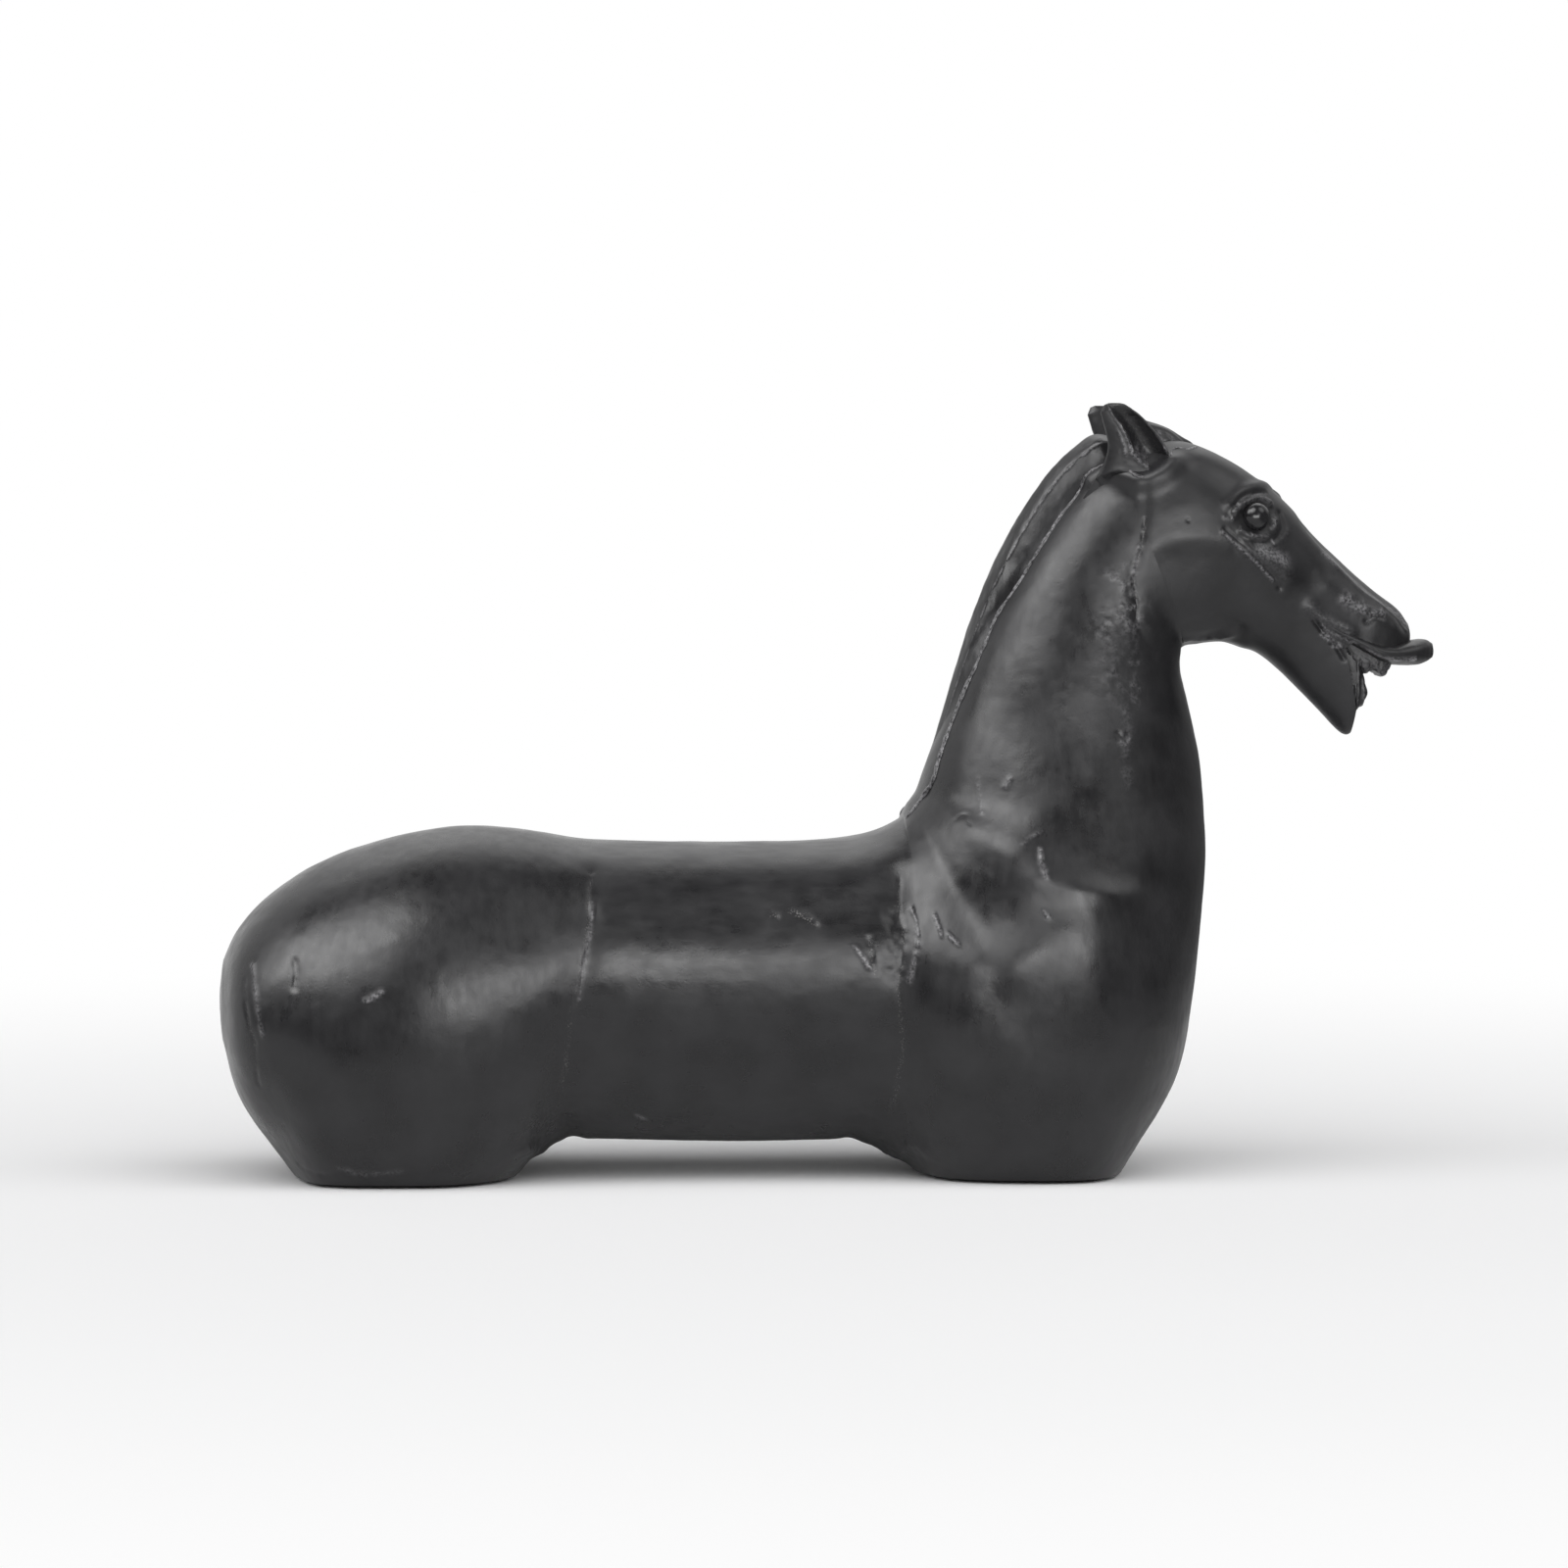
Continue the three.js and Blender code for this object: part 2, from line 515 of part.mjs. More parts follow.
const trunk = new THREE.Group();
trunk.add(
  piece('hindquarters', hindquarters(), patina),
  piece('barrel', barrel(), patina),
  piece('forequarters', forequarters(), patina),
  piece('neck', neck(), patina),
  piece('mane', mane(), patina),
);

const head = new THREE.Group();
head.add(
  piece('skull', skull(), patina),
  piece('lower_jaw', lowerJaw(), patina),
  piece('upper_lip', upperLip(), patina),
  piece('upper_teeth', upperTeeth(), patina),
  piece('tongue', tongue(), patina),
  piece('forelock', forelock(), patina),
);
for (const [name, side] of [['left', 1], ['right', -1]]) {
  head.add(piece(`${name}_ear`, ear(side), patina));
  head.add(piece(`${name}_eye`, eye(side), glossy));
}

const feet = new THREE.Group();
feet.add(piece('hind_pad', pad(FLANK, -1), felt), piece('fore_pad', pad(GIRTH, 1), felt));

const horse = new THREE.Group();
horse.add(trunk, head, feet);
horse.position.x = -OVERALL_LENGTH / 2;

export default horse;
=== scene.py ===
# %% [markdown]
# # A horse figurine in black patinated metal
# The real object is a set of hollow castings: rump, barrel, chest, neck and head, soldered edge to
# edge, filed smooth and darkened with a satin patina. A measured model of it comes first and is
# loaded as a frame. Everything below is built over that frame, in metres: X runs from the rump to
# the head, Y to the horse's left and Z up.

# %% Load the frame
import math
import bmesh
import bpy
import numpy as np
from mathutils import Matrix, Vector
from mathutils.bvhtree import BVHTree


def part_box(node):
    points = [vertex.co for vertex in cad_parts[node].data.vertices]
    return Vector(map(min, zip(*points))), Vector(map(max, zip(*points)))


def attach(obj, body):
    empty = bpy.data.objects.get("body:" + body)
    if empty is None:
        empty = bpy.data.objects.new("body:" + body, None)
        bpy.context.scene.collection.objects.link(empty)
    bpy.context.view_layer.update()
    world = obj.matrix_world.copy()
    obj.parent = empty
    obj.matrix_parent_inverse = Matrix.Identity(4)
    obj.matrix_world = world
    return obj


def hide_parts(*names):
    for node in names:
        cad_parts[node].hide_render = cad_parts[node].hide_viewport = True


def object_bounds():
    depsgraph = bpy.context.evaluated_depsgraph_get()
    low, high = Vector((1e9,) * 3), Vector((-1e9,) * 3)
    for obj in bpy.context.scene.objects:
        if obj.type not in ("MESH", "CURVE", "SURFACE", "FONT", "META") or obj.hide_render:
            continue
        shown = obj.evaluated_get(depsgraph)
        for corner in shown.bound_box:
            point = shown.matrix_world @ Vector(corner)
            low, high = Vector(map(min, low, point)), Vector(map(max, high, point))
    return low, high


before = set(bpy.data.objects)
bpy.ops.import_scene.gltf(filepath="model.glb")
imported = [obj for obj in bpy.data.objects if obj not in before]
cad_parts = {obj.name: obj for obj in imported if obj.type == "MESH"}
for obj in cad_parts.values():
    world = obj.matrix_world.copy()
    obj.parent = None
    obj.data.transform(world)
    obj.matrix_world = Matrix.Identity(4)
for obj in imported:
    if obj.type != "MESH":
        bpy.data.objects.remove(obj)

MM = 0.001
frame_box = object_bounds()
LOWEST, HIGHEST = (np.array(corner) for corner in frame_box)
RUMP_X = LOWEST[0]
print("frame from", np.round(LOWEST / MM, 1), "to", np.round(HIGHEST / MM, 1), "mm")

# %% [markdown]
# ## The camera
# The photograph looks at the horse's right side from a little above the back, with a long lens:
# both stubs show level bottoms and hardly any perspective. Four degrees of turn towards the tail
# and a 135 mm lens give the same outline. The camera comes first, because marks on the metal are
# placed by where they appear in it.

# %% Camera
PICTURE = 1600  # side of the square picture, in pixels
LENS, SENSOR = 135.0, 36.0
TURN = math.radians(4)
CAMERA_HEIGHT, CAMERA_DISTANCE = 262 * MM, 2.46
FOCAL = PICTURE * LENS / SENSOR  # in pixels
ahead = Vector((math.sin(TURN), math.cos(TURN), 0))
aim = Vector((-19.2, 0, 163.6)) * MM  # what shows in the middle of the picture
eye_place = Vector((aim.x, 0, CAMERA_HEIGHT)) - ahead * CAMERA_DISTANCE


def placed(name, data):
    """A new object in the scene."""
    obj = bpy.data.objects.new(name, data)
    bpy.context.scene.collection.objects.link(obj)
    return obj


def pointed(obj, place, target):
    """Stands a camera or a lamp at a place and points it at a target."""
    obj.location = place
    obj.rotation_mode = "QUATERNION"
    obj.rotation_quaternion = (Vector(target) - Vector(place)).to_track_quat("-Z", "Y")


camera = placed("camera", bpy.data.cameras.new("camera"))
camera.data.lens, camera.data.sensor_width = LENS, SENSOR
pointed(camera, eye_place, aim)
bpy.context.scene.camera = camera
print("camera", round((aim - eye_place).length, 3), "m from the horse")

# %% [markdown]
# ## The shape of the body
# From rump to nose the body is one flowing form, so it is drawn as a row of sections: each has a
# point on the back line, a point on the under line and a width. The two exponents say how round
# its top and its bottom are: 0.5 is a half ellipse, less is squarer and more is narrower. Places
# are shares of a few stretches of the horse, so a stretch can change without redrawing.

# %% Stretches and sections
HIND, BARREL, FORE, POLL, HEAD, LIP = np.array([154, 129.5, 129.5, 90.5, 125.5, 10]) * MM
BACK, RISE, DEPTH = np.array([140, 159, 112]) * MM  # back height, back to poll, poll to chin
GIRTH_X = RUMP_X + HIND + BARREL
POLL_X, POLL_Z = GIRTH_X + POLL, BACK + RISE


def stretch_from(x, length, z, height):
    """A function that gives the place, in metres, at shares along and up a stretch of the horse."""
    return lambda along, up: (x + along * length, z + up * height)


hind = stretch_from(RUMP_X, HIND, 0, BACK)
trunk = stretch_from(RUMP_X + HIND, BARREL, 0, BACK)
fore = stretch_from(GIRTH_X, FORE, 0, BACK)
neck = stretch_from(GIRTH_X, FORE, BACK, RISE)
crest = stretch_from(GIRTH_X, POLL, BACK, RISE)
head = stretch_from(POLL_X, HEAD, POLL_Z, DEPTH)


def sections(top, bottom, width, *rows):
    """Sections, from shares along and up of both lines, a share of the width, and two exponents."""
    return [(*top(*row[:2]), *bottom(*row[2:4]), row[4] * width * MM / 2, *row[5:]) for row in rows]


SECTIONS = np.array(
    sections(hind, hind, 144,  # rump and haunches
             (0.01, 0.65, 0.008, 0.41, 0.3, 0.5, 0.5),
             (0.048, 0.742, 0.05, 0.245, 0.58, 0.5, 0.48),
             (0.137, 0.847, 0.145, 0.085, 0.79, 0.5, 0.45),
             (0.28, 0.948, 0.275, -0.08, 0.93, 0.5, 0.4),
             (0.48, 1.02, 0.45, -0.1, 1, 0.48, 0.38),
             (0.68, 1.05, 0.62, -0.1, 0.98, 0.48, 0.38),
             (0.857, 1.032, 0.79, -0.007, 0.88, 0.48, 0.42),
             (1, 1.007, 0.903, 0.104, 0.8, 0.48, 0.48))
    + sections(trunk, trunk, 112,  # barrel
               (0.3, 0.998, 0.28, 0.1, 1, 0.48, 0.48),
               (0.62, 1, 0.6, 0.1, 1, 0.48, 0.48),
               (0.87, 1.015, 0.83, 0.1, 1.01, 0.48, 0.48))
    + sections(fore, fore, 146,  # shoulders and chest
               (0, 1.064, 0, 0.05, 0.8, 0.5, 0.45),
               (0.012, 1.082, 0.16, -0.07, 0.89, 0.52, 0.4),
               (0.019, 1.096, 0.39, -0.1, 0.96, 0.54, 0.38),
               (0.027, 1.111, 0.635, -0.08, 0.99, 0.56, 0.38),
               (0.035, 1.121, 0.77, 0.088, 1, 0.58, 0.4),
               (0.043, 1.132, 0.907, 0.3, 0.98, 0.6, 0.44),
               (0.051, 1.143, 0.965, 0.586, 0.9, 0.6, 0.48))
    + sections(fore, fore, 96,  # neck
               (0.062, 1.164, 1, 0.914, 1.14, 0.58, 0.5))
    + sections(crest, neck, 96,
               (0.149, 0.241, 0.997, 0.076, 0.99, 0.54, 0.5),
               (0.232, 0.354, 0.981, 0.209, 0.86, 0.52, 0.5),
               (0.337, 0.491, 0.949, 0.335, 0.76, 0.5, 0.5),
               (0.453, 0.62, 0.922, 0.424, 0.68, 0.5, 0.48),
               (0.586, 0.744, 0.916, 0.468, 0.62, 0.48, 0.46),
               (0.785, 0.905, 0.919, 0.491, 0.58, 0.46, 0.46))
    + sections(crest, head, 58,  # head
               (0.978, 1.003, 0.231, -0.7, 0.96, 0.44, 0.45))
    + sections(head, head, 58,
               (0.105, 0.076, 0.275, -0.679, 1, 0.4, 0.45),
               (0.235, 0.075, 0.348, -0.67, 1, 0.36, 0.45),
               (0.372, 0.013, 0.421, -0.688, 0.94, 0.34, 0.46),
               (0.494, -0.077, 0.494, -0.727, 0.84, 0.33, 0.48),
               (0.591, -0.173, 0.559, -0.787, 0.73, 0.33, 0.5),
               (0.672, -0.275, 0.623, -0.858, 0.64, 0.32, 0.5),
               (0.745, -0.354, 0.696, -0.94, 0.58, 0.3, 0.5),
               (0.818, -0.428, 0.782, -1.035, 0.54, 0.3, 0.5),
               (0.895, -0.498, 0.83, -0.985, 0.52, 0.32, 0.48),
               (0.96, -0.554, 0.91, -0.875, 0.45, 0.38, 0.45),
               (0.995, -0.61, 0.975, -0.75, 0.28, 0.45, 0.45)))
FLANK, GIRTH, NECK_BASE, THROAT, NOSE = 7, 11, 18, 25, len(SECTIONS) - 1
print(len(SECTIONS), "sections from rump to nose")

# %% [markdown]
# Between the given sections the form has to flow, and a satin surface shows every kink in its
# reflections. A smooth curve goes through the sections, and a light blur along the body takes out
# what is left of the steps. Rings of evenly spaced points then follow from it.

# %% Rings of points on the skin
FINE = 32  # samples from one section to the next
BLUR = 0.22  # of that distance


def through(rows, places):
    """Points on the smooth curve through the rows; place 0 is the first row."""
    rows = np.asarray(rows, float)
    more = np.vstack([2 * rows[0] - rows[1], rows, 2 * rows[-1] - rows[-2]])
    first = np.clip(np.floor(places).astype(int), 0, len(rows) - 2)
    t = (places - first)[:, None]
    a, b, c, d = (more[first + k] for k in range(4))
    return 0.5 * (2 * b + (c - a) * t + (2 * a - 5 * b + 4 * c - d) * t**2
                  + (3 * b - a - 3 * c + d) * t**3)


def blurred(rows, width):
    """The rows smoothed along their length, with straight runs added at both ends."""
    reach = int(4 * width)
    steps = np.arange(1, reach + 1)[:, None]
    start = rows[0] - steps[::-1] * (rows[1] - rows[0])
    end = rows[-1] + steps * (rows[-1] - rows[-2])
    weights = np.exp(-0.5 * (np.arange(-reach, reach + 1) / width) ** 2)
    weights /= weights.sum()
    padded = np.vstack([start, rows, end])
    return np.column_stack([np.convolve(column, weights, "valid") for column in padded.T])


fine_places = np.arange(NOSE * FINE + 1) / FINE
FLOW = blurred(through(SECTIONS, fine_places), BLUR * FINE)
SKIN_DROP = 0.2 * MM  # the skin's mean lies this far inside the frame's


def at(places, rows=FLOW, fine=FINE):
    """The section at each place, as a row of seven numbers."""
    known = np.arange(len(rows))
    return np.column_stack([np.interp(np.asarray(places) * fine, known, c) for c in rows.T])


def walk(steps):
    """The distance walked up to each point, from the steps between the points."""
    return np.concatenate([[0], np.cumsum(steps)])


def rings(forms, count, inset=SKIN_DROP):
    """For each section a ring of evenly spaced points: down its right side, then up its left."""
    share = (1 - np.cos(np.linspace(0, np.pi, 500))) / 2
    made = []
    for tx, tz, bx, bz, half, top, bottom in forms:
        peak = (top / (top + bottom)) ** top * (bottom / (top + bottom)) ** bottom
        length = math.hypot(bx - tx, bz - tz)
        down = np.array([bx - tx, bz - tz]) / length
        depth = inset + share * (length - 2 * inset)
        side = share**top * (1 - share) ** bottom / peak * max(half - inset, 0)
        walked = walk(np.hypot(np.diff(depth), np.diff(side)))
        even = np.linspace(0, walked[-1], count // 2 + 1)
        depth, side = np.interp(even, walked, depth), np.interp(even, walked, side)
        half_ring = np.column_stack([tx + down[0] * depth, -side, tz + down[1] * depth])
        made.append(np.vstack([half_ring, (half_ring * [1, -1, 1])[-2:0:-1]]))
    return np.array(made)


def spaced(start, end, step, rows=FLOW, fine=FINE):
    """Places from start to end, where no two rings lie further apart than the step."""
    places = np.linspace(start, end, int(abs(end - start) * fine) + 2)
    loops = rings(at(places, rows, fine), 32)
    walked = walk(np.linalg.norm(np.diff(loops, axis=0), axis=2).max(axis=1))
    count = int(math.ceil(walked[-1] / step)) + 1
    return np.interp(np.linspace(0, walked[-1], count), walked, places)


print("body length", round((SECTIONS[:, 0].max() - SECTIONS[:, 0].min()) / MM, 1), "mm")

# %% [markdown]
# ## From a picture place to a place on the metal
# Seams, scars and folds are easiest to read off a picture. A ray from the camera through a
# picture place finds the point on the skin. Marks are kept on the right side, and the left side
# mirrors them, as the horse is symmetric.

# %% Skin for the rays
def mesh_faces(rows, count):
    """Quads over rings of equal count, facing out."""
    row, i = np.meshgrid(np.arange(rows - 1), np.arange(count), indexing="ij")
    nxt = (i + 1) % count
    corners = [row * count + i, row * count + nxt, (row + 1) * count + nxt, (row + 1) * count + i]
    return np.stack(corners, axis=-1).reshape(-1, 4)


coarse = rings(at(spaced(0, NOSE, 3 * MM)), 120)
skin_tree = BVHTree.FromPolygons(coarse.reshape(-1, 3).tolist(),
                                 mesh_faces(len(coarse), 120).tolist())


def on_skin(x, y):
    """The point of the horse's right side that shows at a place of the picture."""
    ray = Vector((x - PICTURE / 2, PICTURE / 2 - y, -FOCAL))
    ray.rotate(camera.rotation_quaternion)
    ray.normalize()
    point = skin_tree.ray_cast(eye_place, ray)[0]
    if point is None:
        level = eye_place + ray * (-eye_place.y / ray.y)
        point = skin_tree.find_nearest(level)[0]
    return np.array(point)


def traced(places):
    """The points of the horse's right side along a line of the picture."""
    return np.array([on_skin(x, y) for x, y in places])


def beside_top(places, out):
    """Points of the right side near its top line, at a distance from the middle plane."""
    loops = rings(at(places), 600)
    return np.array([loop[int(np.argmax(-loop[:, 1] >= out))] for loop in loops])


def under(x, z, reach=48):
    """A line across the right half of the belly, at the skin next to a height."""
    places = [Vector((x, -out * MM, z)) for out in range(2, reach, 4)]
    return np.array([np.array(skin_tree.find_nearest(place)[0]) for place in places])


print("the eye lies at", np.round(on_skin(1281, 526) / MM, 1), "mm")

# %% [markdown]
# ## Unevenness
# Hand-finished metal is never even: it has broad waves from the casting and small ones from the
# file. Random numbers on a grid, blended smoothly between grid points, give lumps of any size,
# and the same numbers come out on every run.

# %% Smooth random numbers
def noise(points, size, seed=0):
    """A number from -1 to 1 for each point, with lumps of the given size."""
    place = np.asarray(points) / size + 100.5
    cell = np.floor(place).astype(np.int64)
    t = place - cell
    t = t * t * t * (t * (t * 6 - 15) + 10)
    total = np.zeros(len(place))
    for corner in np.ndindex(2, 2, 2):
        c = cell + corner
        code = (c[:, 0] * 73856093) ^ (c[:, 1] * 19349663) ^ (c[:, 2] * 83492791)
        code ^= seed * 50331653
        code = (code ^ (code >> 13)) * 1274126177 & 0xFFFFFFFF
        value = ((code ^ (code >> 16)) & 0xFFFF) / 32767.5 - 1
        total += value * np.prod(np.where(corner, t, 1 - t), axis=1)
    return total


print("noise at three points", np.round(noise(np.eye(3) * 0.37, 0.1), 2))

# %% [markdown]
# ## Marks on the metal
# A mark is a line on the skin with a width and a height: positive for a ridge, a bead or a scar,
# negative for a groove. Roughness makes it break up, as a hand-run seam does. Each mark can also
# make the metal lighter, as worn metal and on some ridges and patches as a painted highlight, and
# it can carry dust, which gathers in hollows.

# %% Marks
marks = []
UNEVEN = [(0.22, 24, 1), (0.1, 9, 2), (0.035, 3.2, 3)]  # height and size in mm, and a seed


def smooth_line(points, step=0.8 * MM):
    """A smooth line through the points, with even short steps."""
    points = np.asarray(points, float)
    if len(points) < 2:
        return points
    dense = through(points, np.linspace(0, len(points) - 1, 24 * len(points)))
    walked = walk(np.linalg.norm(np.diff(dense, axis=0), axis=1))
    even = np.linspace(0, walked[-1], max(2, int(walked[-1] / step)))
    return np.column_stack([np.interp(even, walked, axis) for axis in dense.T])


def mark(places, width, height, rough=0.0, wear_and_highlight=0.0, dust=0.0):
    """A line through places of the picture, or points on the skin; width and height in mm."""
    points = places if len(places[0]) == 3 else traced(places)
    marks.append((smooth_line(points), width * MM, height * MM, rough, wear_and_highlight, dust))


def line_distance(points, line):
    """The distance from each point to the nearest point of a finely stepped line."""
    best = np.full(len(points), np.inf)
    for start in range(0, len(line), 16):
        part = line[start:start + 16]
        gap = np.linalg.norm(points[:, None] - part[None], axis=2).min(axis=1)
        best = np.minimum(best, gap)
    return best


def relief(points):
    """How far each point is lifted off the smooth skin, how much lighter it is painted (worn metal
    and painted highlights), and its dust.
    """
    near = points.copy()
    near[:, 1] = -np.abs(near[:, 1])  # the marks lie on the right side
    lift = sum(height * MM * noise(points, size * MM, seed) for height, size, seed in UNEVEN)
    wear_and_highlight, dust = np.zeros(len(points)), np.zeros(len(points))
    for index, (line, width, height, rough, rub_and_highlight, dirt) in enumerate(marks):
        reach = 2.6 * width  # further away a mark is too faint to count
        close = np.all((near > line.min(0) - reach) & (near < line.max(0) + reach), axis=1)
        if not close.any():
            continue
        here, real = near[close], points[close]
        breadth = width * (1 + 0.45 * rough * noise(real, 3.5 * MM, index + 10))
        strength = 1 + rough * noise(real, 2.2 * MM, index + 50)
        profile = np.exp(-((line_distance(here, line) / breadth) ** 2))
        lift[close] += height * strength * profile
        wear_and_highlight[close] = np.maximum(wear_and_highlight[close], rub_and_highlight * profile * np.clip(strength, 0, 2))
        dust[close] = np.maximum(dust[close], dirt * profile)
    return lift, wear_and_highlight, dust


# %% [markdown]
# The body castings meet at the flank and at the girth. The joints were soldered and filed, so
# what shows is a broad shallow hollow with a broken fine line in it, and specks of light dust.

# %% Seams and scars of the body
FLANK_SEAM = [(604, 890), (600, 920), (600, 943), (593, 980),
              (587, 1020), (583, 1033), (577, 1093), (567, 1153)]
GIRTH_SEAM = [(918, 895), (917, 927), (922, 953), (920, 987),
              (917, 1013), (920, 1067), (913, 1120), (900, 1165)]
mark(FLANK_SEAM, 6, -0.55)
mark(FLANK_SEAM, 0.8, -0.22, 0.9, dust=0.35)
mark([(x + 4, y) for x, y in FLANK_SEAM[1:5]], 0.7, 0.2, 0.9, wear_and_highlight=0.6)
mark(GIRTH_SEAM, 7, -0.7)
mark(GIRTH_SEAM, 0.9, -0.25, 0.9, dust=0.35)
mark([(912, 935), (915, 962), (911, 990)], 4.5, -0.8, 0.3)
mark([(930, 925), (936, 950), (934, 975), (928, 1000)], 1.2, 0.3, 0.9, wear_and_highlight=0.4)
# Scratches of the rump, and a hollow low on it
mark([(250, 1000), (253, 1040), (260, 1067), (263, 1107)], 1.1, -0.3, 0.8, dust=0.2)
mark([(258, 985), (262, 1020), (268, 1055)], 1.2, 0.4, 0.8, wear_and_highlight=0.4)
mark([(300, 980), (303, 993), (301, 1007)], 1.3, -0.5, 0.6, dust=0.2)
mark([(372, 1022), (381, 1018), (390, 1012)], 0.7, 0.3, 0.5, wear_and_highlight=0.9)
mark([(285, 1140), (287, 1165), (290, 1185)], 14, -1.6)
# Nicks and bright scratches of barrel and shoulder
mark([(787, 933), (792, 935)], 0.9, -0.5, 0.7, dust=1)
mark([(807, 930), (820, 935), (833, 943)], 1.1, -0.4, 0.9, dust=0.9)
mark([(873, 967), (880, 976), (887, 987)], 0.8, 0.5, 0.6, wear_and_highlight=0.9)
mark([(887, 958), (890, 975), (893, 993)], 0.8, -0.5, 0.6, dust=0.6)
mark([(953, 933), (957, 944), (960, 953)], 0.9, 0.5, 0.6, wear_and_highlight=0.9)
mark([(967, 953), (972, 958), (977, 963)], 0.9, 0.5, 0.6, wear_and_highlight=0.8)
mark([(1067, 930), (1070, 936)], 1.0, 0.4, 0.8, wear_and_highlight=0.8)
mark([(650, 1138), (658, 1142)], 0.8, -0.3, 0.5, wear_and_highlight=0.6)
# Folds where the belly runs into the stubs, and scratches above the hind pad
mark(under(-108 * MM, 14 * MM), 4, -1.7)
mark(under(-119 * MM, 8 * MM), 4, 1.6, 0.3)
mark(under(8 * MM, 14 * MM), 4.5, -1.3)
mark(under(24 * MM, 7 * MM), 5, 1.4, 0.3)
mark([(302, 1190), (330, 1199), (360, 1196), (400, 1201)], 1.2, -0.35, 0.8)
mark([(345, 1193), (375, 1199), (410, 1196)], 1.0, -0.3, 0.8, wear_and_highlight=0.2)
print(len(marks), "marks on the body")

# %% [markdown]
# The neck carries its own scars: a ragged crease behind the jaw where head and neck castings
# meet, a small pit half way down, and a soft ledge where the neck enters the shoulders.

# %% Neck and throat
THROAT_LINE = [(1172, 480), (1170, 495), (1168, 530), (1166, 552), (1161, 571), (1157, 590),
               (1160, 615), (1160, 632), (1167, 652), (1180, 664)]
mark(THROAT_LINE, 2.6, -0.45)
mark(THROAT_LINE[2:8], 0.8, -0.4, 0.8, dust=0.4)
mark([(1163, 555), (1159, 575), (1155, 595)], 0.9, 0.3, 0.9, wear_and_highlight=0.4)
# Torn spots behind the cheek and down the front of the neck
mark([(1143, 594), (1150, 612), (1152, 632)], 4.5, 0.07, 2.4, wear_and_highlight=0.2)
mark([(1145, 618), (1153, 622), (1158, 619)], 0.8, 0.25, 0.9, wear_and_highlight=0.5)
mark([(1160, 640), (1156, 665), (1157, 690), (1158, 715)], 2.6, 0.08, 1.8, wear_and_highlight=0.15)
mark([(1125, 640), (1132, 670), (1136, 700)], 5, 0.04, 2, wear_and_highlight=0.1)
mark([(1141, 748), (1146, 755), (1151, 750)], 0.9, -0.5, 0.3)
mark([(1143, 757), (1147, 760), (1152, 755)], 0.7, 0.3, 0.3, wear_and_highlight=0.6)
mark([(1148, 720), (1152, 745), (1148, 775), (1150, 800)], 2.4, 0.1, 1.2, wear_and_highlight=0.12)
# Nicks at the neck's base, the ledges under it, and the dark hollow below the withers
mark([(998, 795), (1000, 812), (1002, 830)], 1.0, 0.2, 0.9, wear_and_highlight=0.3)
mark([(1030, 795), (1026, 803)], 1.0, 0.3, 0.7, wear_and_highlight=0.5)
mark([(975, 838), (985, 832), (990, 842)], 0.9, -0.2, 0.8)
mark([(1062, 866), (1063, 882), (1068, 895)], 0.9, 0.4, 0.6, wear_and_highlight=0.7)
mark([(1000, 986), (1028, 992)], 10, 1.2)
mark([(1045, 862), (1052, 855), (1062, 848)], 0.8, 0.15, 0.9, wear_and_highlight=0.3)
mark([(1060, 897), (1093, 906), (1143, 914), (1165, 914)], 5.5, 0.9)
mark([(935, 840), (965, 848), (1000, 856), (1035, 864)], 10, 0.9)
mark([(945, 918), (985, 927), (1025, 931), (1060, 927)], 14, -1.9)
# The mound that carries the ear
mark([(1116, 491), (1127, 484.5), (1138, 483), (1152, 487), (1163, 491), (1175, 489), (1188, 483),
      (1198, 474)], 5, 3.6)
print(len(marks), "marks so far")

# %% [markdown]
# ## From rings to meshes
# Every piece is a row of rings: it gets quads between its rings, a face at each open end, and a
# lift along its normals. Soft shading hides the quads, and an edge stays sharp only where the
# metal really turns. How much lighter each point is painted, for worn metal and for painted
# highlights, and its dust are stored as numbers on the points, for the finish to use.

# %% Mesh helpers
def unit(vectors):
    """The vectors, each with a length of one."""
    return vectors / np.maximum(np.linalg.norm(vectors, axis=-1, keepdims=True), 1e-12)


def outward(grid, along=None):
    """Unit normals of a grid of rings; along says how it runs from ring to ring."""
    around = np.roll(grid, -1, axis=1) - np.roll(grid, 1, axis=1)
    return unit(np.cross(around, np.gradient(grid, axis=0) if along is None else along))


def moved(grid, normals, lift):
    """The points of a grid, moved along their normals and kept inside the frame's box."""
    points = grid.reshape(-1, 3) + normals.reshape(-1, 3) * lift.reshape(-1, 1)
    return np.clip(points, LOWEST, HIGHEST)


def closed(rows, count):
    """Quads over rings of equal count, and one face at each end."""
    last = (rows - 1) * count
    ends = [list(range(count - 1, -1, -1)), list(range(last, last + count))]
    return mesh_faces(rows, count).tolist() + ends


def solid(name, points, faces):
    """A plain mesh object."""
    mesh = bpy.data.meshes.new(name)
    mesh.from_pydata(points, [], faces)
    return placed(name, mesh)


def shade(mesh, sharp=35):
    """Soft shading, except at edges that turn by more than an angle in degrees."""
    mesh.shade_smooth()
    mesh.set_sharp_from_angle(angle=math.radians(sharp))


def finished(name, points, faces, wear_and_highlight=None, dust=0, sharp=35):
    """A mesh object with its shading, and how much lighter its points are painted (worn metal and
    painted highlights), and their dust.
    """
    obj = solid(name, points.tolist(), faces)
    if wear_and_highlight is not None:
        for key, numbers in (("wear_and_highlight", wear_and_highlight), ("dust", wear_and_highlight * 0 + dust)):
            layer = obj.data.attributes.new(key, "FLOAT", "POINT")
            layer.data.foreach_set("value", numbers.astype(np.float32).ravel())
    shade(obj.data, sharp)
    return obj


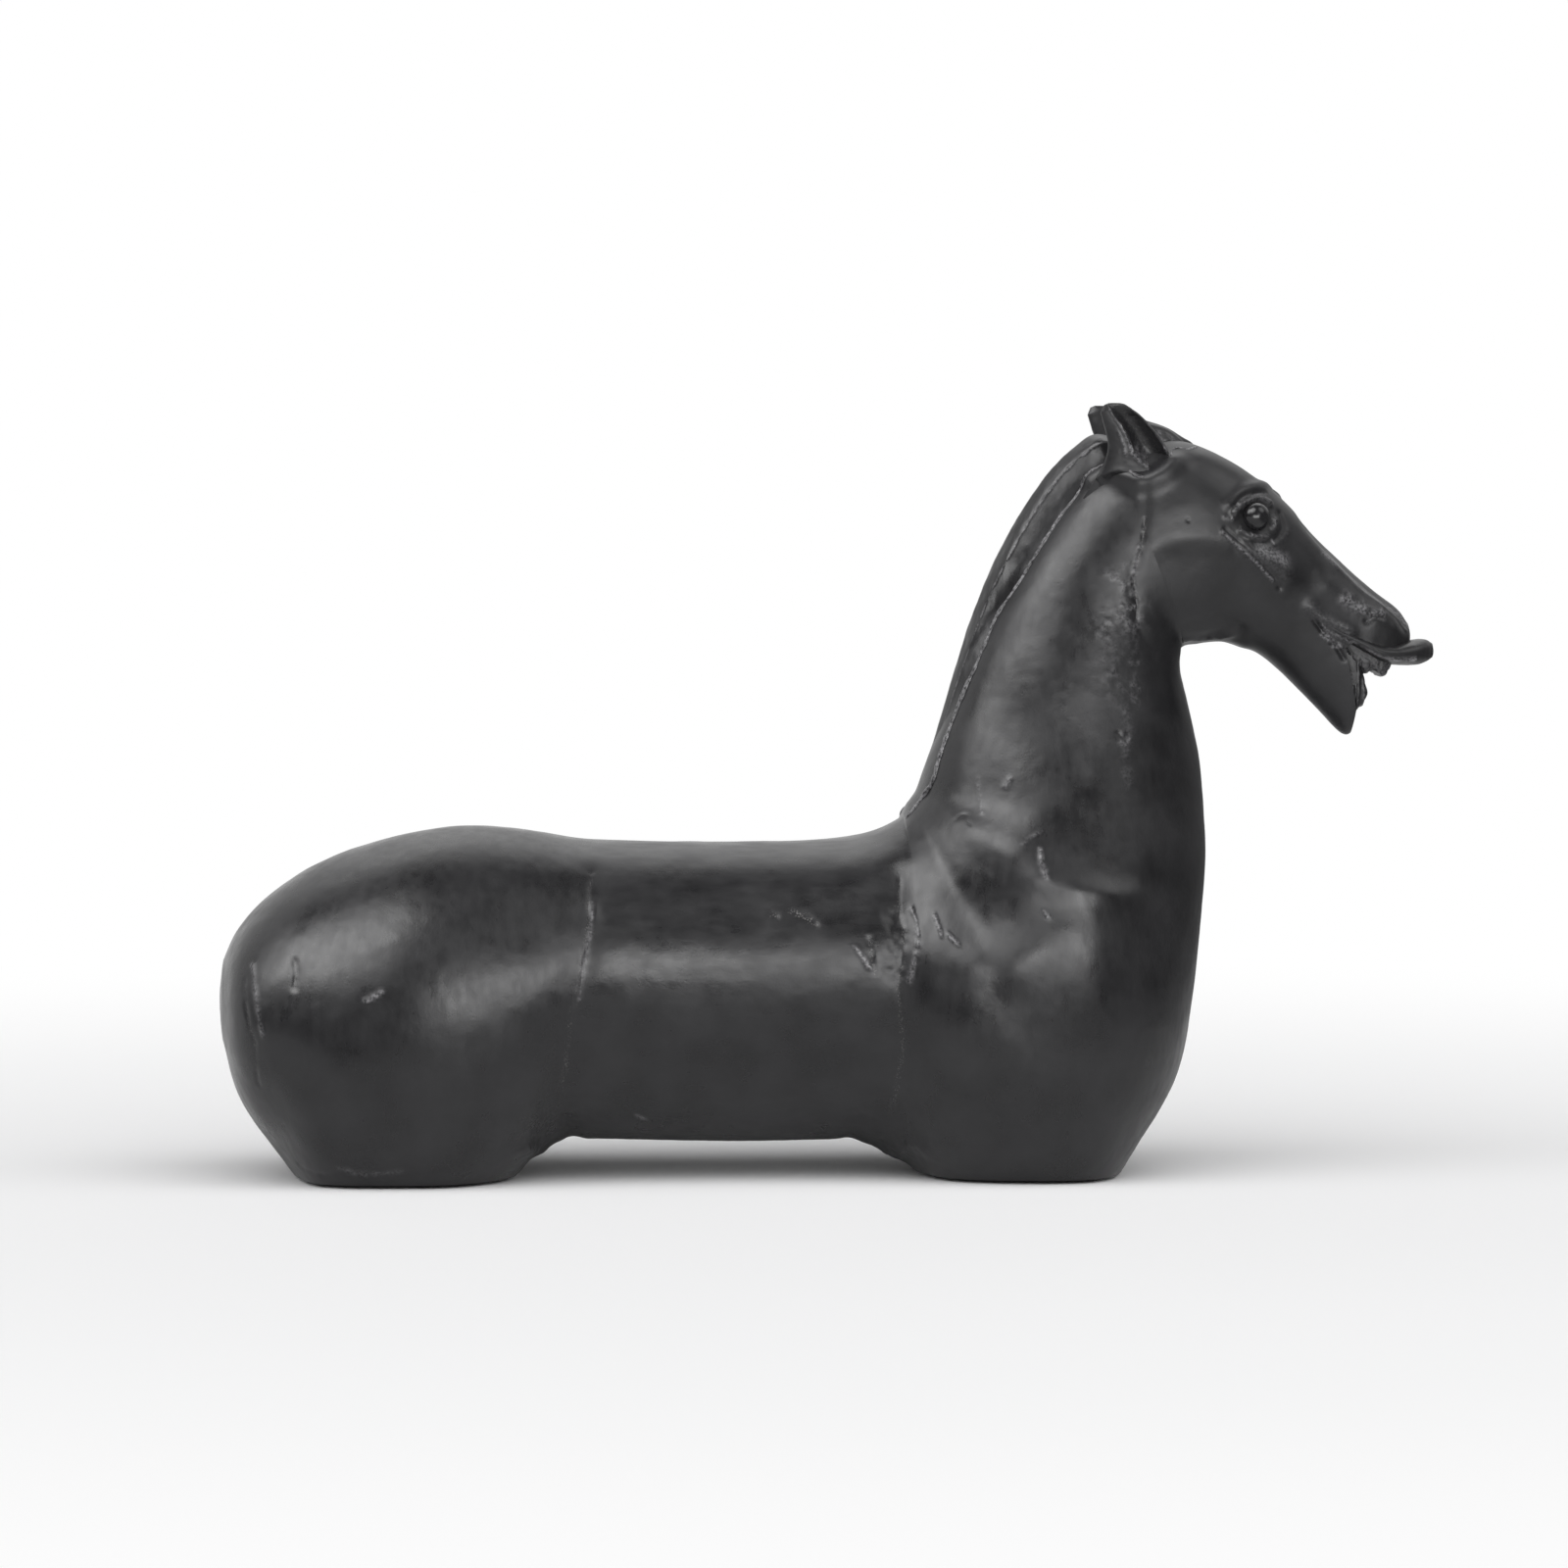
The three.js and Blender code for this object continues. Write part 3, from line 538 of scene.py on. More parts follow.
def pole_rings(ring, pole, count, power):
    """Rings that close from a ring to a pole in a rounded cap, the pole's own left out."""
    pole = np.array([pole[0], 0, pole[1]])
    middle = ring.mean(axis=0)
    scales = np.linspace(1, 0, count, endpoint=False)[1:]
    flat = ring - middle
    return [pole + (middle - pole) * scale**power + flat * scale for scale in scales]


print("mesh helpers ready")

# %% [markdown]
# ## One casting at a time
# A casting is the skin between two joints, lifted by its relief and closed at its ends. A loft of
# quads keeps the points even, which a sculpted relief needs. At a joint both castings take the
# direction of their lift from the whole smooth skin, so they meet without a step.

# %% Build a casting
def skin_outward(places, count, step=0.02):
    """Unit normals of the smooth skin, the same on both sides of a joint."""
    along = rings(at(places + step), count) - rings(at(places - step), count)
    return outward(rings(at(places), count), along)


def casting(name, start, end, step, count, pole_start=None, pole_end=None):
    """The closed body casting between two places along the skin."""
    places = spaced(start, end, step)
    grid = list(rings(at(places), count))
    first = 0
    if pole_start is not None:
        cap = pole_rings(grid[0], pole_start, 14, 2)
        grid, first = cap[::-1] + grid, len(cap)
    if pole_end is not None:
        grid += pole_rings(grid[-1], pole_end, 12, 2)
    grid = np.array(grid)
    normals = outward(grid)
    low, high = int(pole_start is not None), len(places) - int(pole_end is not None)
    normals[first + low:first + high] = skin_outward(places[low:high], count)
    lift, wear_and_highlight, dust = relief(grid.reshape(-1, 3))
    return finished(name, moved(grid, normals, lift), closed(len(grid), count), wear_and_highlight, dust)


print("castings are closed lofts of quads")

# %% [markdown]
# The two stubs are cut flat, so that the horse stands. A plane at the top of the felt pad cuts the
# casting's foot off, and one flat face fills the opening, as a saw and a file would leave it.

# %% Cut the stubs
PAD = 1.5 * MM
BODY_STEP, NECK_STEP, HEAD_STEP = 1.15 * MM, 0.85 * MM, 0.6 * MM  # from ring to ring, at most


def stand(obj):
    """Cuts the foot of a casting off at the top of its pad."""
    work = bmesh.new()
    work.from_mesh(obj.data)
    opened = bmesh.ops.bisect_plane(work, geom=work.verts[:] + work.edges[:] + work.faces[:],
                                    plane_co=(0, 0, PAD), plane_no=(0, 0, 1), clear_inner=True)
    rim = [item for item in opened["geom_cut"] if isinstance(item, bmesh.types.BMEdge)]
    bmesh.ops.edgeloop_fill(work, edges=rim)
    bmesh.ops.recalc_face_normals(work, faces=work.faces)
    work.to_mesh(obj.data)
    work.free()
    shade(obj.data)


hindquarters = casting("hindquarters_skin", 0, FLANK, BODY_STEP, 360, pole_start=hind(0, 0.53))
barrel = casting("barrel_skin", FLANK, GIRTH, BODY_STEP, 330)
forequarters = casting("forequarters_skin", GIRTH, NECK_BASE, BODY_STEP, 380)
neck_casting = casting("neck_skin", NECK_BASE, THROAT, NECK_STEP, 320)
stand(hindquarters)
stand(forequarters)
for obj in (hindquarters, barrel, forequarters, neck_casting):
    print(obj.name, len(obj.data.polygons), "faces")

# %% [markdown]
# ## The head
# The face is slim and dry: a heavy brow over the eye, a sharp ridge from the eye down the cheek,
# a broad flat temple, and a flat nose with rough nostrils. All of it is relief on the same skin,
# read off the picture in small lines, because a chaser works it into the wax in the same way. The
# eye lies in a pit with thick lids round it, so that the ball stands free.

# %% Marks of the face
# The pit of the eye, its lids and folds, and the bright nicks round it
mark([(1281, 528), (1287, 528)], 5.2, -1.5)
mark([(1254, 514), (1266, 502), (1283, 495.5), (1297, 495), (1307, 501)], 2.6, 1.3)
mark([(1260, 515.5), (1272, 508.5), (1282, 503), (1292, 502)], 0.7, -0.6)
mark([(1264, 514), (1272, 508.5), (1281, 505.5), (1289, 505.5)], 0.8, 0.9, wear_and_highlight=0.25)
mark([(1259, 524), (1264, 518), (1272, 512.5), (1281, 509.5), (1289, 510), (1295, 513)],
     1.3, 1.9, wear_and_highlight=0.3)
mark([(1266, 541), (1274, 546), (1284, 548.5), (1293, 547)], 1.1, 1.1, 0.3, wear_and_highlight=0.2)
mark([(1277, 545), (1282, 547), (1286, 546)], 0.6, 0.4, 0.5, wear_and_highlight=0.8)
mark([(1301, 531), (1299.5, 537)], 1.2, 1.7, wear_and_highlight=0.45)
mark([(1306, 524), (1309, 536), (1305, 547), (1294, 553), (1280, 554)], 1.3, -0.8)
mark([(1299, 552), (1300, 554)], 0.7, 0.4, wear_and_highlight=0.8)
mark([(1310, 548), (1314, 543)], 1.6, 0.4, wear_and_highlight=0.1)
mark([(1250, 528), (1257, 529)], 0.9, 0.45, 0.7, wear_and_highlight=0.5)
# The cheekbone, with a painted highlight on it, and the sharp ridge that runs down the cheek
mark([(1274, 563), (1286, 569), (1299, 576), (1311, 584)], 4, 2.1, wear_and_highlight=0.1)
# A mark of colour alone, with no height: the painted highlight of the cheekbone
mark([(1286, 561), (1298, 566), (1309, 571)], 2.8, 0, wear_and_highlight=0.55)
CHEEK_RIDGE = [(1247, 543), (1258, 553), (1270, 564), (1283, 576), (1298, 592)]
mark(CHEEK_RIDGE, 0.7, 0.7, 0.5, wear_and_highlight=0.7)
mark([(x + 3, y - 3) for x, y in CHEEK_RIDGE], 0.9, -0.4)
mark([(1306, 599)], 1.3, -0.6)
# The broad forms of temple, cheek and jaw
mark([(1163, 573), (1176, 562), (1192, 553), (1216, 549), (1238, 551), (1252, 555)], 5, 0.6)
mark([(1158, 652), (1178, 658)], 13, -1.7)
mark([(1222, 655), (1236, 652), (1252, 652), (1268, 657)], 5, 1.3)
mark([(1195, 588), (1225, 582), (1255, 594)], 15, -0.9)
mark([(1198, 658), (1220, 652), (1240, 649), (1256, 647)], 2.2, 0.9, 0.2)
mark([(1215, 636), (1240, 633), (1262, 640)], 4, -0.7)
mark([(1212, 531)], 0.8, -0.4)
mark([(1312, 552), (1322, 566), (1336, 584)], 5, -0.9)

# The flat top of the nose with a painted highlight along its edge, the nostril, and the corner of
# the mouth
mark(beside_top(np.linspace(30.6, 35.4, 12), 7.5 * MM), 4.2, -1.6)
mark([(1362, 576), (1374, 588), (1389, 603), (1408, 616), (1426, 629), (1435, 642)], 1.2, 0.5, 0.2)
# A mark of colour alone, with no height: a painted highlight along the edge of the nose's flat top
mark([(1352, 565), (1364, 575), (1377, 586), (1392, 600), (1409, 611), (1427, 624), (1437, 638)],
     1.8, 0, wear_and_highlight=0.6)
mark([(1356, 598), (1372, 606), (1390, 616), (1408, 624)], 4.5, 0.8)
mark([(1370, 611), (1377, 615), (1386, 620), (1397, 624), (1408, 625)], 2.2, 0.5, 1.1, wear_and_highlight=0.5)
mark([(1395, 634), (1402, 629), (1410, 630)], 1.2, -0.6, 0.6, dust=0.2)
mark([(1405, 636), (1420, 641)], 5, 0.6)
mark([(1338, 620), (1347, 629), (1360, 637), (1376, 646)], 3, 1.4, wear_and_highlight=0.12)
mark([(1346, 629), (1360, 634.5), (1374, 641)], 0.6, 0.5, 0.3, wear_and_highlight=0.4)
mark([(1341, 633), (1354, 650), (1366, 663), (1371, 672)], 1.0, -1.0, 0.3)
mark([(1349, 638), (1358, 646), (1370, 652), (1382, 657)], 0.7, 0.6, 0.4, wear_and_highlight=0.5)
mark([(1351, 645), (1360, 654), (1369, 660)], 0.8, 0.5, 0.9, wear_and_highlight=0.5)
mark([(1349, 649), (1355, 653)], 0.7, 0.5, 0.4, wear_and_highlight=0.9)
mark([(1361, 660), (1368, 661)], 0.7, 0.5, 0.4, wear_and_highlight=0.9)
print(len(marks), "marks in all")

# %% [markdown]
# The head is cast with the mouth open. It is lofted whole, with its finest relief, and the open
# mouth is cut out of it with a block of the same outline. A second block divides the lower jaw
# from the skull along the line where the two castings meet.

# %% Head casting
head_skin = casting("skull_skin", THROAT, NOSE, HEAD_STEP, 320, pole_end=head(1, -0.68))
print("head", len(head_skin.data.polygons), "faces")

# %% Cut the mouth
def outline(*places):
    """Places in the plane of symmetry, from their shares of the head."""
    return [head(*place) for place in places]


CORNER = head(0.765, -0.7)  # in front of the true corner, where the cheek is folded and closed
HEEL, BELOW = outline((0.53, -0.77), (0.45, -1.4))
ROOF = outline((0.8, -0.675), (1, -0.74), (1.4, -0.78), (1.4, -1.4))
JAW_EDGE = outline((0.85, -1.4), (0.8, -1.03), (0.81, -0.935), (0.77, -0.725))


def faces_out(mesh):
    """Turns every face of a closed mesh outwards."""
    work = bmesh.new()
    work.from_mesh(mesh)
    bmesh.ops.recalc_face_normals(work, faces=work.faces)
    work.to_mesh(mesh)
    work.free()


def block(name, corners, half_width=0.06):
    """A flat-sided block across the head, from its corners in the plane of symmetry."""
    count = len(corners)
    points = [(x, side * half_width, z) for side in (-1, 1) for x, z in corners]
    faces = [list(range(count)), list(range(2 * count - 1, count - 1, -1))]
    faces += [[i, i + count, (i + 1) % count + count, (i + 1) % count] for i in range(count)]
    obj = solid(name, points, faces)
    faces_out(obj.data)
    return obj


def cut(obj, tool, operation):
    """Cuts a piece with a block and keeps the result in the piece."""
    step = obj.modifiers.new("cut", "BOOLEAN")
    step.object, step.operation, step.solver = tool, operation, "EXACT"
    graph = bpy.context.evaluated_depsgraph_get()
    result = bpy.data.meshes.new_from_object(obj.evaluated_get(graph))
    obj.modifiers.clear()
    obj.data = result
    obj.data.set_sharp_from_angle(angle=math.radians(40))


jaw_block = block("jaw_block", [CORNER, HEEL, BELOW, *JAW_EDGE])
below_block = block("below_block", [BELOW, HEEL, CORNER, *ROOF])
lower_jaw = placed("lower_jaw_skin", head_skin.data.copy())
cut(lower_jaw, jaw_block, "INTERSECT")
cut(head_skin, below_block, "DIFFERENCE")
for tool in (jaw_block, below_block):
    bpy.data.objects.remove(tool)
print("skull and lower jaw", [len(obj.data.polygons) for obj in (head_skin, lower_jaw)], "faces")

# %% [markdown]
# ## Eyes
# Each eye is a polished ball set in its socket, and the lids lie round it as relief. It stands a
# little further out than the plain ball of the frame, so that it meets the lids all round.

# %% Eyeballs
SIDES = ((-1, "right"), (1, "left"))
EYE_RADIUS, EYE_OUT = 6 * MM, 1.3 * MM


def ball(name, centre, radius, rows=40, count=64):
    """A closed ball of even rings, with its poles forward and to the rear."""
    tilt = np.linspace(0, np.pi, rows + 2)[1:-1]
    turn = np.linspace(0, 2 * np.pi, count, endpoint=False)
    grid = np.array([[(-math.cos(a), math.sin(a) * math.cos(t), math.sin(a) * math.sin(t))
                      for t in turn] for a in tilt])
    poles = [centre - [radius, 0, 0], centre + [radius, 0, 0]]
    points = np.vstack([centre + radius * grid.reshape(-1, 3), poles])
    rear, front, last = rows * count, rows * count + 1, (rows - 1) * count
    faces = mesh_faces(rows, count).tolist()
    faces += [[(i + 1) % count, i, rear] for i in range(count)]
    faces += [[last + i, last + (i + 1) % count, front] for i in range(count)]
    return finished(name, points, faces)


eyes = {}
for side, name in SIDES:
    low, high = (np.array(corner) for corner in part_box(f"{name}_eye"))
    centre = (low + high) / 2 + [0, side * EYE_OUT, 0]
    eyes[name] = ball(f"{name}_eyeball", centre, EYE_RADIUS)
    print(name, "eye at", np.round(centre / MM, 1), "mm")

# %% [markdown]
# ## The mane
# The mane is clipped to a crest with a roof-like section: a light strip slopes from the ridge to
# an inner edge, and below it a flat side runs down to the neck. It starts almost flush at the
# withers and rises to the poll. A loft whose section is drawn point by point keeps those edges.

# %% Line of solder at the foot of the mane
MANE_FOOT = [(924, 836), (938, 818), (952, 796), (959, 772), (973, 732), (983, 707), (994, 683),
             (1005, 657), (1016, 631), (1030, 609), (1046, 585), (1060, 561), (1074, 539),
             (1088, 519), (1102, 502), (1117, 488), (1132, 478)]
foot_line = smooth_line(traced(MANE_FOOT), 1 * MM)
foot_length = np.linalg.norm(np.diff(foot_line, axis=0), axis=1).sum()
print("foot of the mane", round(float(foot_length / MM)), "mm long")

# %% Size of the mane along the neck
MANE_RISE = (-0.8 * MM, 13.2 * MM)  # at the withers and at the poll
MANE_END = THROAT + 0.45  # between the ears
EDGE, SUNK = 22, 6  # points from the foot to the inner edge, and points of the sunk floor
crest_places = np.linspace(NECK_BASE, MANE_END, 270)
crest_line = at(crest_places)[:, :2]
crest_way = unit(np.gradient(crest_line, axis=0))
crest_out = np.column_stack([-crest_way[:, 1], crest_way[:, 0]])


def foot_sizes():
    """Half width and depth of the mane's foot at each place of the crest."""
    flat = foot_line[:, [0, 2]]
    away = flat[:, None] - crest_line[None]
    level = (away * crest_way).sum(axis=2) + 0.02 * np.linalg.norm(away, axis=2)
    along = np.abs(level).argmin(axis=1)
    depth = [-float((flat[k] - crest_line[i]) @ crest_out[i]) for k, i in enumerate(along)]
    order = np.argsort(along)
    known, every = along[order], np.arange(len(crest_line))
    wide = np.interp(every, known, np.abs(foot_line[order, 1]))
    deep = np.interp(every, known, np.array(depth)[order])
    return blurred(wide[:, None], 4)[:, 0], blurred(deep[:, None], 4)[:, 0]


foot_wide, foot_deep = foot_sizes()
share = np.clip(((crest_places - NECK_BASE) / (THROAT - NECK_BASE) - 0.03) / 0.92, 0, 1)
rise = share * share * (3 - 2 * share)
falling = np.clip((crest_places - THROAT + 0.1) / (MANE_END - THROAT + 0.1), 0, 1)
rise = rise * (1 - 0.75 * falling**2)
foot_wide, foot_deep = foot_wide * (1 - 0.5 * falling**2), foot_deep * (1 - 0.5 * falling**2)
mane_high = MANE_RISE[0] + (MANE_RISE[1] - MANE_RISE[0]) * rise - 0.15 * MM
edge_wide = np.minimum(2 * MM + 8.5 * MM * rise**0.6, 0.8 * foot_wide)  # from the middle
edge_drop = 0.4 * MM + 3.9 * MM * rise**0.7  # below the ridge
print("mane rises to", round(mane_high.max() / MM, 1), "mm")

# %% [markdown]
# One section runs from the foot up the flat side to the inner edge, then up the strip to the
# ridge. Its foot is sunk in the neck, so that no gap shows under the bead of solder.

# %% Sections of the mane
def bulging(start, end, bulge, shares):
    """Points between two ends, pushed out by the bulge in the middle."""
    return [start + (end - start) * t + bulge * math.sin(math.pi * t) for t in shares]


def mane_half(i):
    """Half of a section, from the sunk foot to the ridge: distance from the middle, and height."""
    foot = np.array([foot_wide[i], -foot_deep[i]])
    edge = np.array([edge_wide[i], mane_high[i] - edge_drop[i]])
    ridge = np.array([1.2 * MM, mane_high[i] - 0.1 * MM])
    side = bulging(foot, edge, np.array([-0.5, -0.35]) * MM * rise[i], np.linspace(0, 1, EDGE))
    strip = bulging(edge, ridge, np.array([0.1, 0.35]) * MM * rise[i], np.linspace(0.08, 1, 12))
    return np.array([foot + [-0.5 * MM, -1.6 * MM], *side, *strip, [0, mane_high[i]]])


def mane_section(i):
    """The whole section on the neck: both halves, and a floor that lies in the metal."""
    half = mane_half(i)
    both = np.vstack([half * [-1, 1], half[-2::-1]])
    floor = np.linspace(both[-1, 0], both[0, 0], SUNK + 2)[1:-1]
    across, up = np.vstack([both, np.column_stack([floor, np.full(SUNK, both[0, 1])])]).T
    x, z = (crest_line[i, axis] + crest_out[i, axis] * up for axis in (0, 1))
    return np.column_stack([x, across, z])


mane_grid = np.array([mane_section(i) for i in range(len(crest_line))])
mane_count = mane_grid.shape[1]
print(len(mane_grid), "sections of", mane_count, "points")

# %% [markdown]
# The side gets upright lumps like clipped hair. The inner edge is a raised line that breaks up,
# and where it stands out it is painted lighter, as a painted highlight along the edge.

# %% Mane
flat = mane_grid.reshape(-1, 3)
stretched = flat * [1, 1, 0.45]  # lumps that run up and down, as hair does
lift = 0.16 * MM * noise(stretched, 5 * MM, 201) + 0.12 * MM * noise(stretched, 2.2 * MM, 202)
on_edge = np.zeros((len(crest_line), mane_count))
for column in (EDGE, mane_count - SUNK - 1 - EDGE):
    on_edge[:, column] = 1
    on_edge[:, column - 1] = on_edge[:, column + 1] = 0.3
on_edge = on_edge.ravel()
raised = np.repeat(rise, mane_count)
broken = 0.6 + 0.8 * noise(flat, 3 * MM, 203)
lift += 0.4 * MM * on_edge * np.clip(broken, 0, 2) * raised
lift *= np.minimum(1, 0.15 + raised * 2)
# The values painted on the edge make it lighter: a painted highlight along the inner edge
mane = finished("mane_crest", moved(mane_grid, outward(mane_grid), lift),
                closed(len(mane_grid), mane_count), on_edge * np.clip(broken, 0, 1) * 0.8, sharp=40)
print("mane", len(mane.data.polygons), "faces")

# %% [markdown]
# A bead of solder runs along the foot of the mane and round the root of each ear. It is a thin
# tube that swells and shrinks along its length, half sunk in the metal. The bead was run by hand,
# so it wanders a little and carries small blobs.

# %% Beads of solder
def bead(name, line, radius, rough=0.35, sunk=0.35, seed=0, sides=10):
    """An uneven tube along a line, with rounded ends."""
    line = smooth_line(line, 0.55 * MM)
    way = unit(np.gradient(line, axis=0))
    out = np.array([np.array(skin_tree.find_nearest(Vector(p))[1]) for p in line])
    out = unit(out - (out * way).sum(axis=1, keepdims=True) * way)
    line = line + out * relief(line)[0][:, None]
    across = np.cross(way, out)
    walked = np.linspace(0, 1, len(line))
    taper = np.sqrt(np.clip(np.minimum(walked, 1 - walked) * len(line) / 3 + 0.05, 0, 1))
    blobs = 1 + rough * noise(line, 2.4 * MM, seed) + 0.5 * rough * noise(line, 6 * MM, seed + 1)
    thick = (radius * taper * blobs)[:, None, None]
    wander = 0.35 * radius * noise(line, 5 * MM, seed + 2)
    middle = line - out * (sunk * radius) + across * wander[:, None]
    turn = np.linspace(0, 2 * np.pi, sides, endpoint=False)[None, :, None]
    grid = middle[:, None] + thick * (np.cos(turn) * out[:, None] + np.sin(turn) * across[:, None])
    # The bead is painted lighter along its whole length: a painted highlight on its ridge
    wear_and_highlight = np.repeat(np.clip(0.8 + 0.5 * noise(line, 4 * MM, seed + 3), 0, 1), sides)
    return finished(name, grid.reshape(-1, 3), closed(len(line), sides), wear_and_highlight, sharp=60)


ear_line = traced([(1103, 499), (1112, 491), (1118, 484), (1127, 479.5), (1136, 478), (1149, 481),
                   (1161, 488), (1169, 490)])
hair_line = traced([(1195, 470), (1197, 459), (1204, 457), (1213, 458), (1223, 456)])
beads = []
for side, name in SIDES:
    mirror = [1, -side, 1]
    beads += [
        bead(f"{name}_mane_bead", foot_line * mirror, 1.05 * MM, sunk=0.15, seed=300 + side),
        bead(f"{name}_ear_bead", ear_line * mirror, 0.95 * MM, sunk=0.2, seed=310 + side),
        bead(f"{name}_forelock_bead", hair_line * mirror, 0.45 * MM, rough=0.6, seed=320 + side)]
print(len(beads), "beads")

# %% [markdown]
# ## Ears
# An ear is a leaf that leans back, with its tip at the rear and a deep cup in its outer face. A
# rough ridge bounds the cup, and behind it the leaf is round and runs out into the mane. It could
# be carved from a solid with cutters. Here the rings of the leaf are pressed in where the cup is,
# which keeps one even skin. Its foot follows the bead of solder and curls under.

# %% Leaf of an ear
EAR_LENGTH, EAR_WIDTH, EAR_THICK = np.array([35, 26, 9]) * MM
EAR_LEAN, EAR_SPLAY = math.radians(21), math.radians(12)
EAR_APART, EAR_DRIFT, EAR_FLARE = 34 * MM, 5 * MM, 18 * MM
EAR_ROOT = head(0.095, -0.06)
# Where its foot ends: how far forward, and how high
EAR_FOOT = np.array([(-21.7, 6), (-18.3, 7.8), (-14.2, 8.1), (-10.6, 7.4), (-6, 4.4), (-2.5, 0),
                     (0.3, -2), (12.4, 0)]) * MM
# Shares of its height, its width and its thickness
EAR_FORM = [(0, 0.95, 1), (0.25, 0.92, 0.95), (0.5, 0.78, 0.85), (0.75, 0.6, 0.66),
            (0.92, 0.41, 0.45), (1, 0.13, 0.2)]


def leaf():
    """The rings of a leaf along its own axes (forward, outward, up), and where its points lie."""
    form = np.array(EAR_FORM)
    known = np.linspace(0, 1, 200)
    table = through(form, np.interp(known, form[:, 0], np.arange(len(form))))
    turn = np.linspace(0, 2 * np.pi, 120, endpoint=False)
    c, s = np.cos(turn), np.sin(turn)

    def forward(up):
        """How far forward the leaf's points lie at a height; behind, it runs out into the mane."""
        wide = np.interp(up, known, table[:, 1]) * EAR_WIDTH / 2 - 0.15 * MM
        behind = np.where(c < 0, EAR_FLARE * np.clip(1 - up / 0.6, 0, 1) ** 2, 0)
        return (wide + behind) * c - EAR_DRIFT * np.clip(up, 0, 1) ** 3

    foot = np.zeros(len(turn))
    for _ in range(5):
        foot = np.interp(forward(foot / EAR_LENGTH), EAR_FOOT[:, 0], EAR_FOOT[:, 1])
    inner = np.clip(-s / 0.5, 0, 1)
    foot = foot * (1 - inner) - 4 * MM * inner
    steps = np.concatenate([np.linspace(0, 0.88, 60), np.linspace(0.88, 0.992, 14)[1:]])
    z = foot + (EAR_LENGTH - foot) * steps[:, None]
    up = z / EAR_LENGTH
    x = forward(up)
    thick = np.interp(up, known, table[:, 2]) * EAR_THICK / 2 - 0.1 * MM

    # The outer face rises to a ridge and falls off round to the rear; the cup lies in front of it
    ridge = np.interp(up, [0, 0.12, 0.36, 0.74, 1], [0.25, 0.14, -0.15, -0.2, -0.3])
    from_ridge = np.where(c > ridge, (c - ridge) / (1 - ridge), (ridge - c) / (1 + ridge))
    full = thick * (1 + 0.25 * (1 - up) ** 2) * np.clip(1 - from_ridge**1.9, 0, 1) ** (1 / 1.9)
    across = (c - (0.9 + ridge) / 2) / ((0.9 - ridge) / 2)
    opening = np.clip(1 - across**2, 0, 1) ** 0.55
    deep = np.interp(up, [0, 0.05, 0.16, 0.45, 0.75, 0.92, 1], [0.1, 0.5, 1, 1, 0.85, 0.35, 0])
    wall = np.minimum(1.2 * MM - thick * s, full)
    cupped = np.maximum(full - deep * opening * 0.85 * (full + thick * s), wall)
    y = np.where(s > 0, cupped, thick * s)

    # The foot curls under towards the skin
    curl = [(0.9, 5), (0.45, 2.6), (0.22, 1.5), (0.07, 0.6)]
    x = np.vstack([*[x[0] * (1 - 0.12 * tuck) for tuck, _ in curl], x])
    y = np.vstack([*[y[0] * (1 - tuck) for tuck, _ in curl], y])
    z = np.vstack([*[z[0] - drop * MM for _, drop in curl], z])
    outer = np.vstack([np.zeros((len(curl), len(turn))), np.ones_like(up) * (s > 0)])
    up, across, opening, deep = (np.vstack([np.repeat(k[:1], len(curl), axis=0), k])
                                 for k in (up, across, opening, deep))
    return np.stack([x, y, z], axis=-1), up, across, outer, opening * outer * deep


leaf_grid, leaf_up, leaf_across, leaf_outer, leaf_hollow = leaf()
print("a leaf of", len(leaf_grid), "rings")

# %% [markdown]
# The leaf is then set on the head, leaning back and a little out. Rough raised lines run along
# the rim, behind it and down the front edge, and a torn patch lies low in the cup. They are
# painted lighter: partly worn metal, partly painted highlight on the ridges.

# %% Ears
def swung(a, b, angle):
    """Two coordinates after a turn in their plane."""
    return a * math.cos(angle) - b * math.sin(angle), a * math.sin(angle) + b * math.cos(angle)


def ear_place(points, side):
    """From the ear's own axes to the horse's."""
    x, y, z = points[..., 0], side * points[..., 1], points[..., 2]
    x, z = swung(x, z, EAR_LEAN)
    y, z = swung(y, z, -side * EAR_SPLAY)
    return np.stack([x + EAR_ROOT[0], y + side * EAR_APART / 2, z + EAR_ROOT[1]], axis=-1)


def line_at(place, width, ups, shares):
    """1 on a line of the outer face, fading off to both sides and along the ear's height."""
    beside = np.exp(-((leaf_across - place) / width) ** 2)
    return beside * leaf_outer * np.interp(leaf_up, ups, shares)


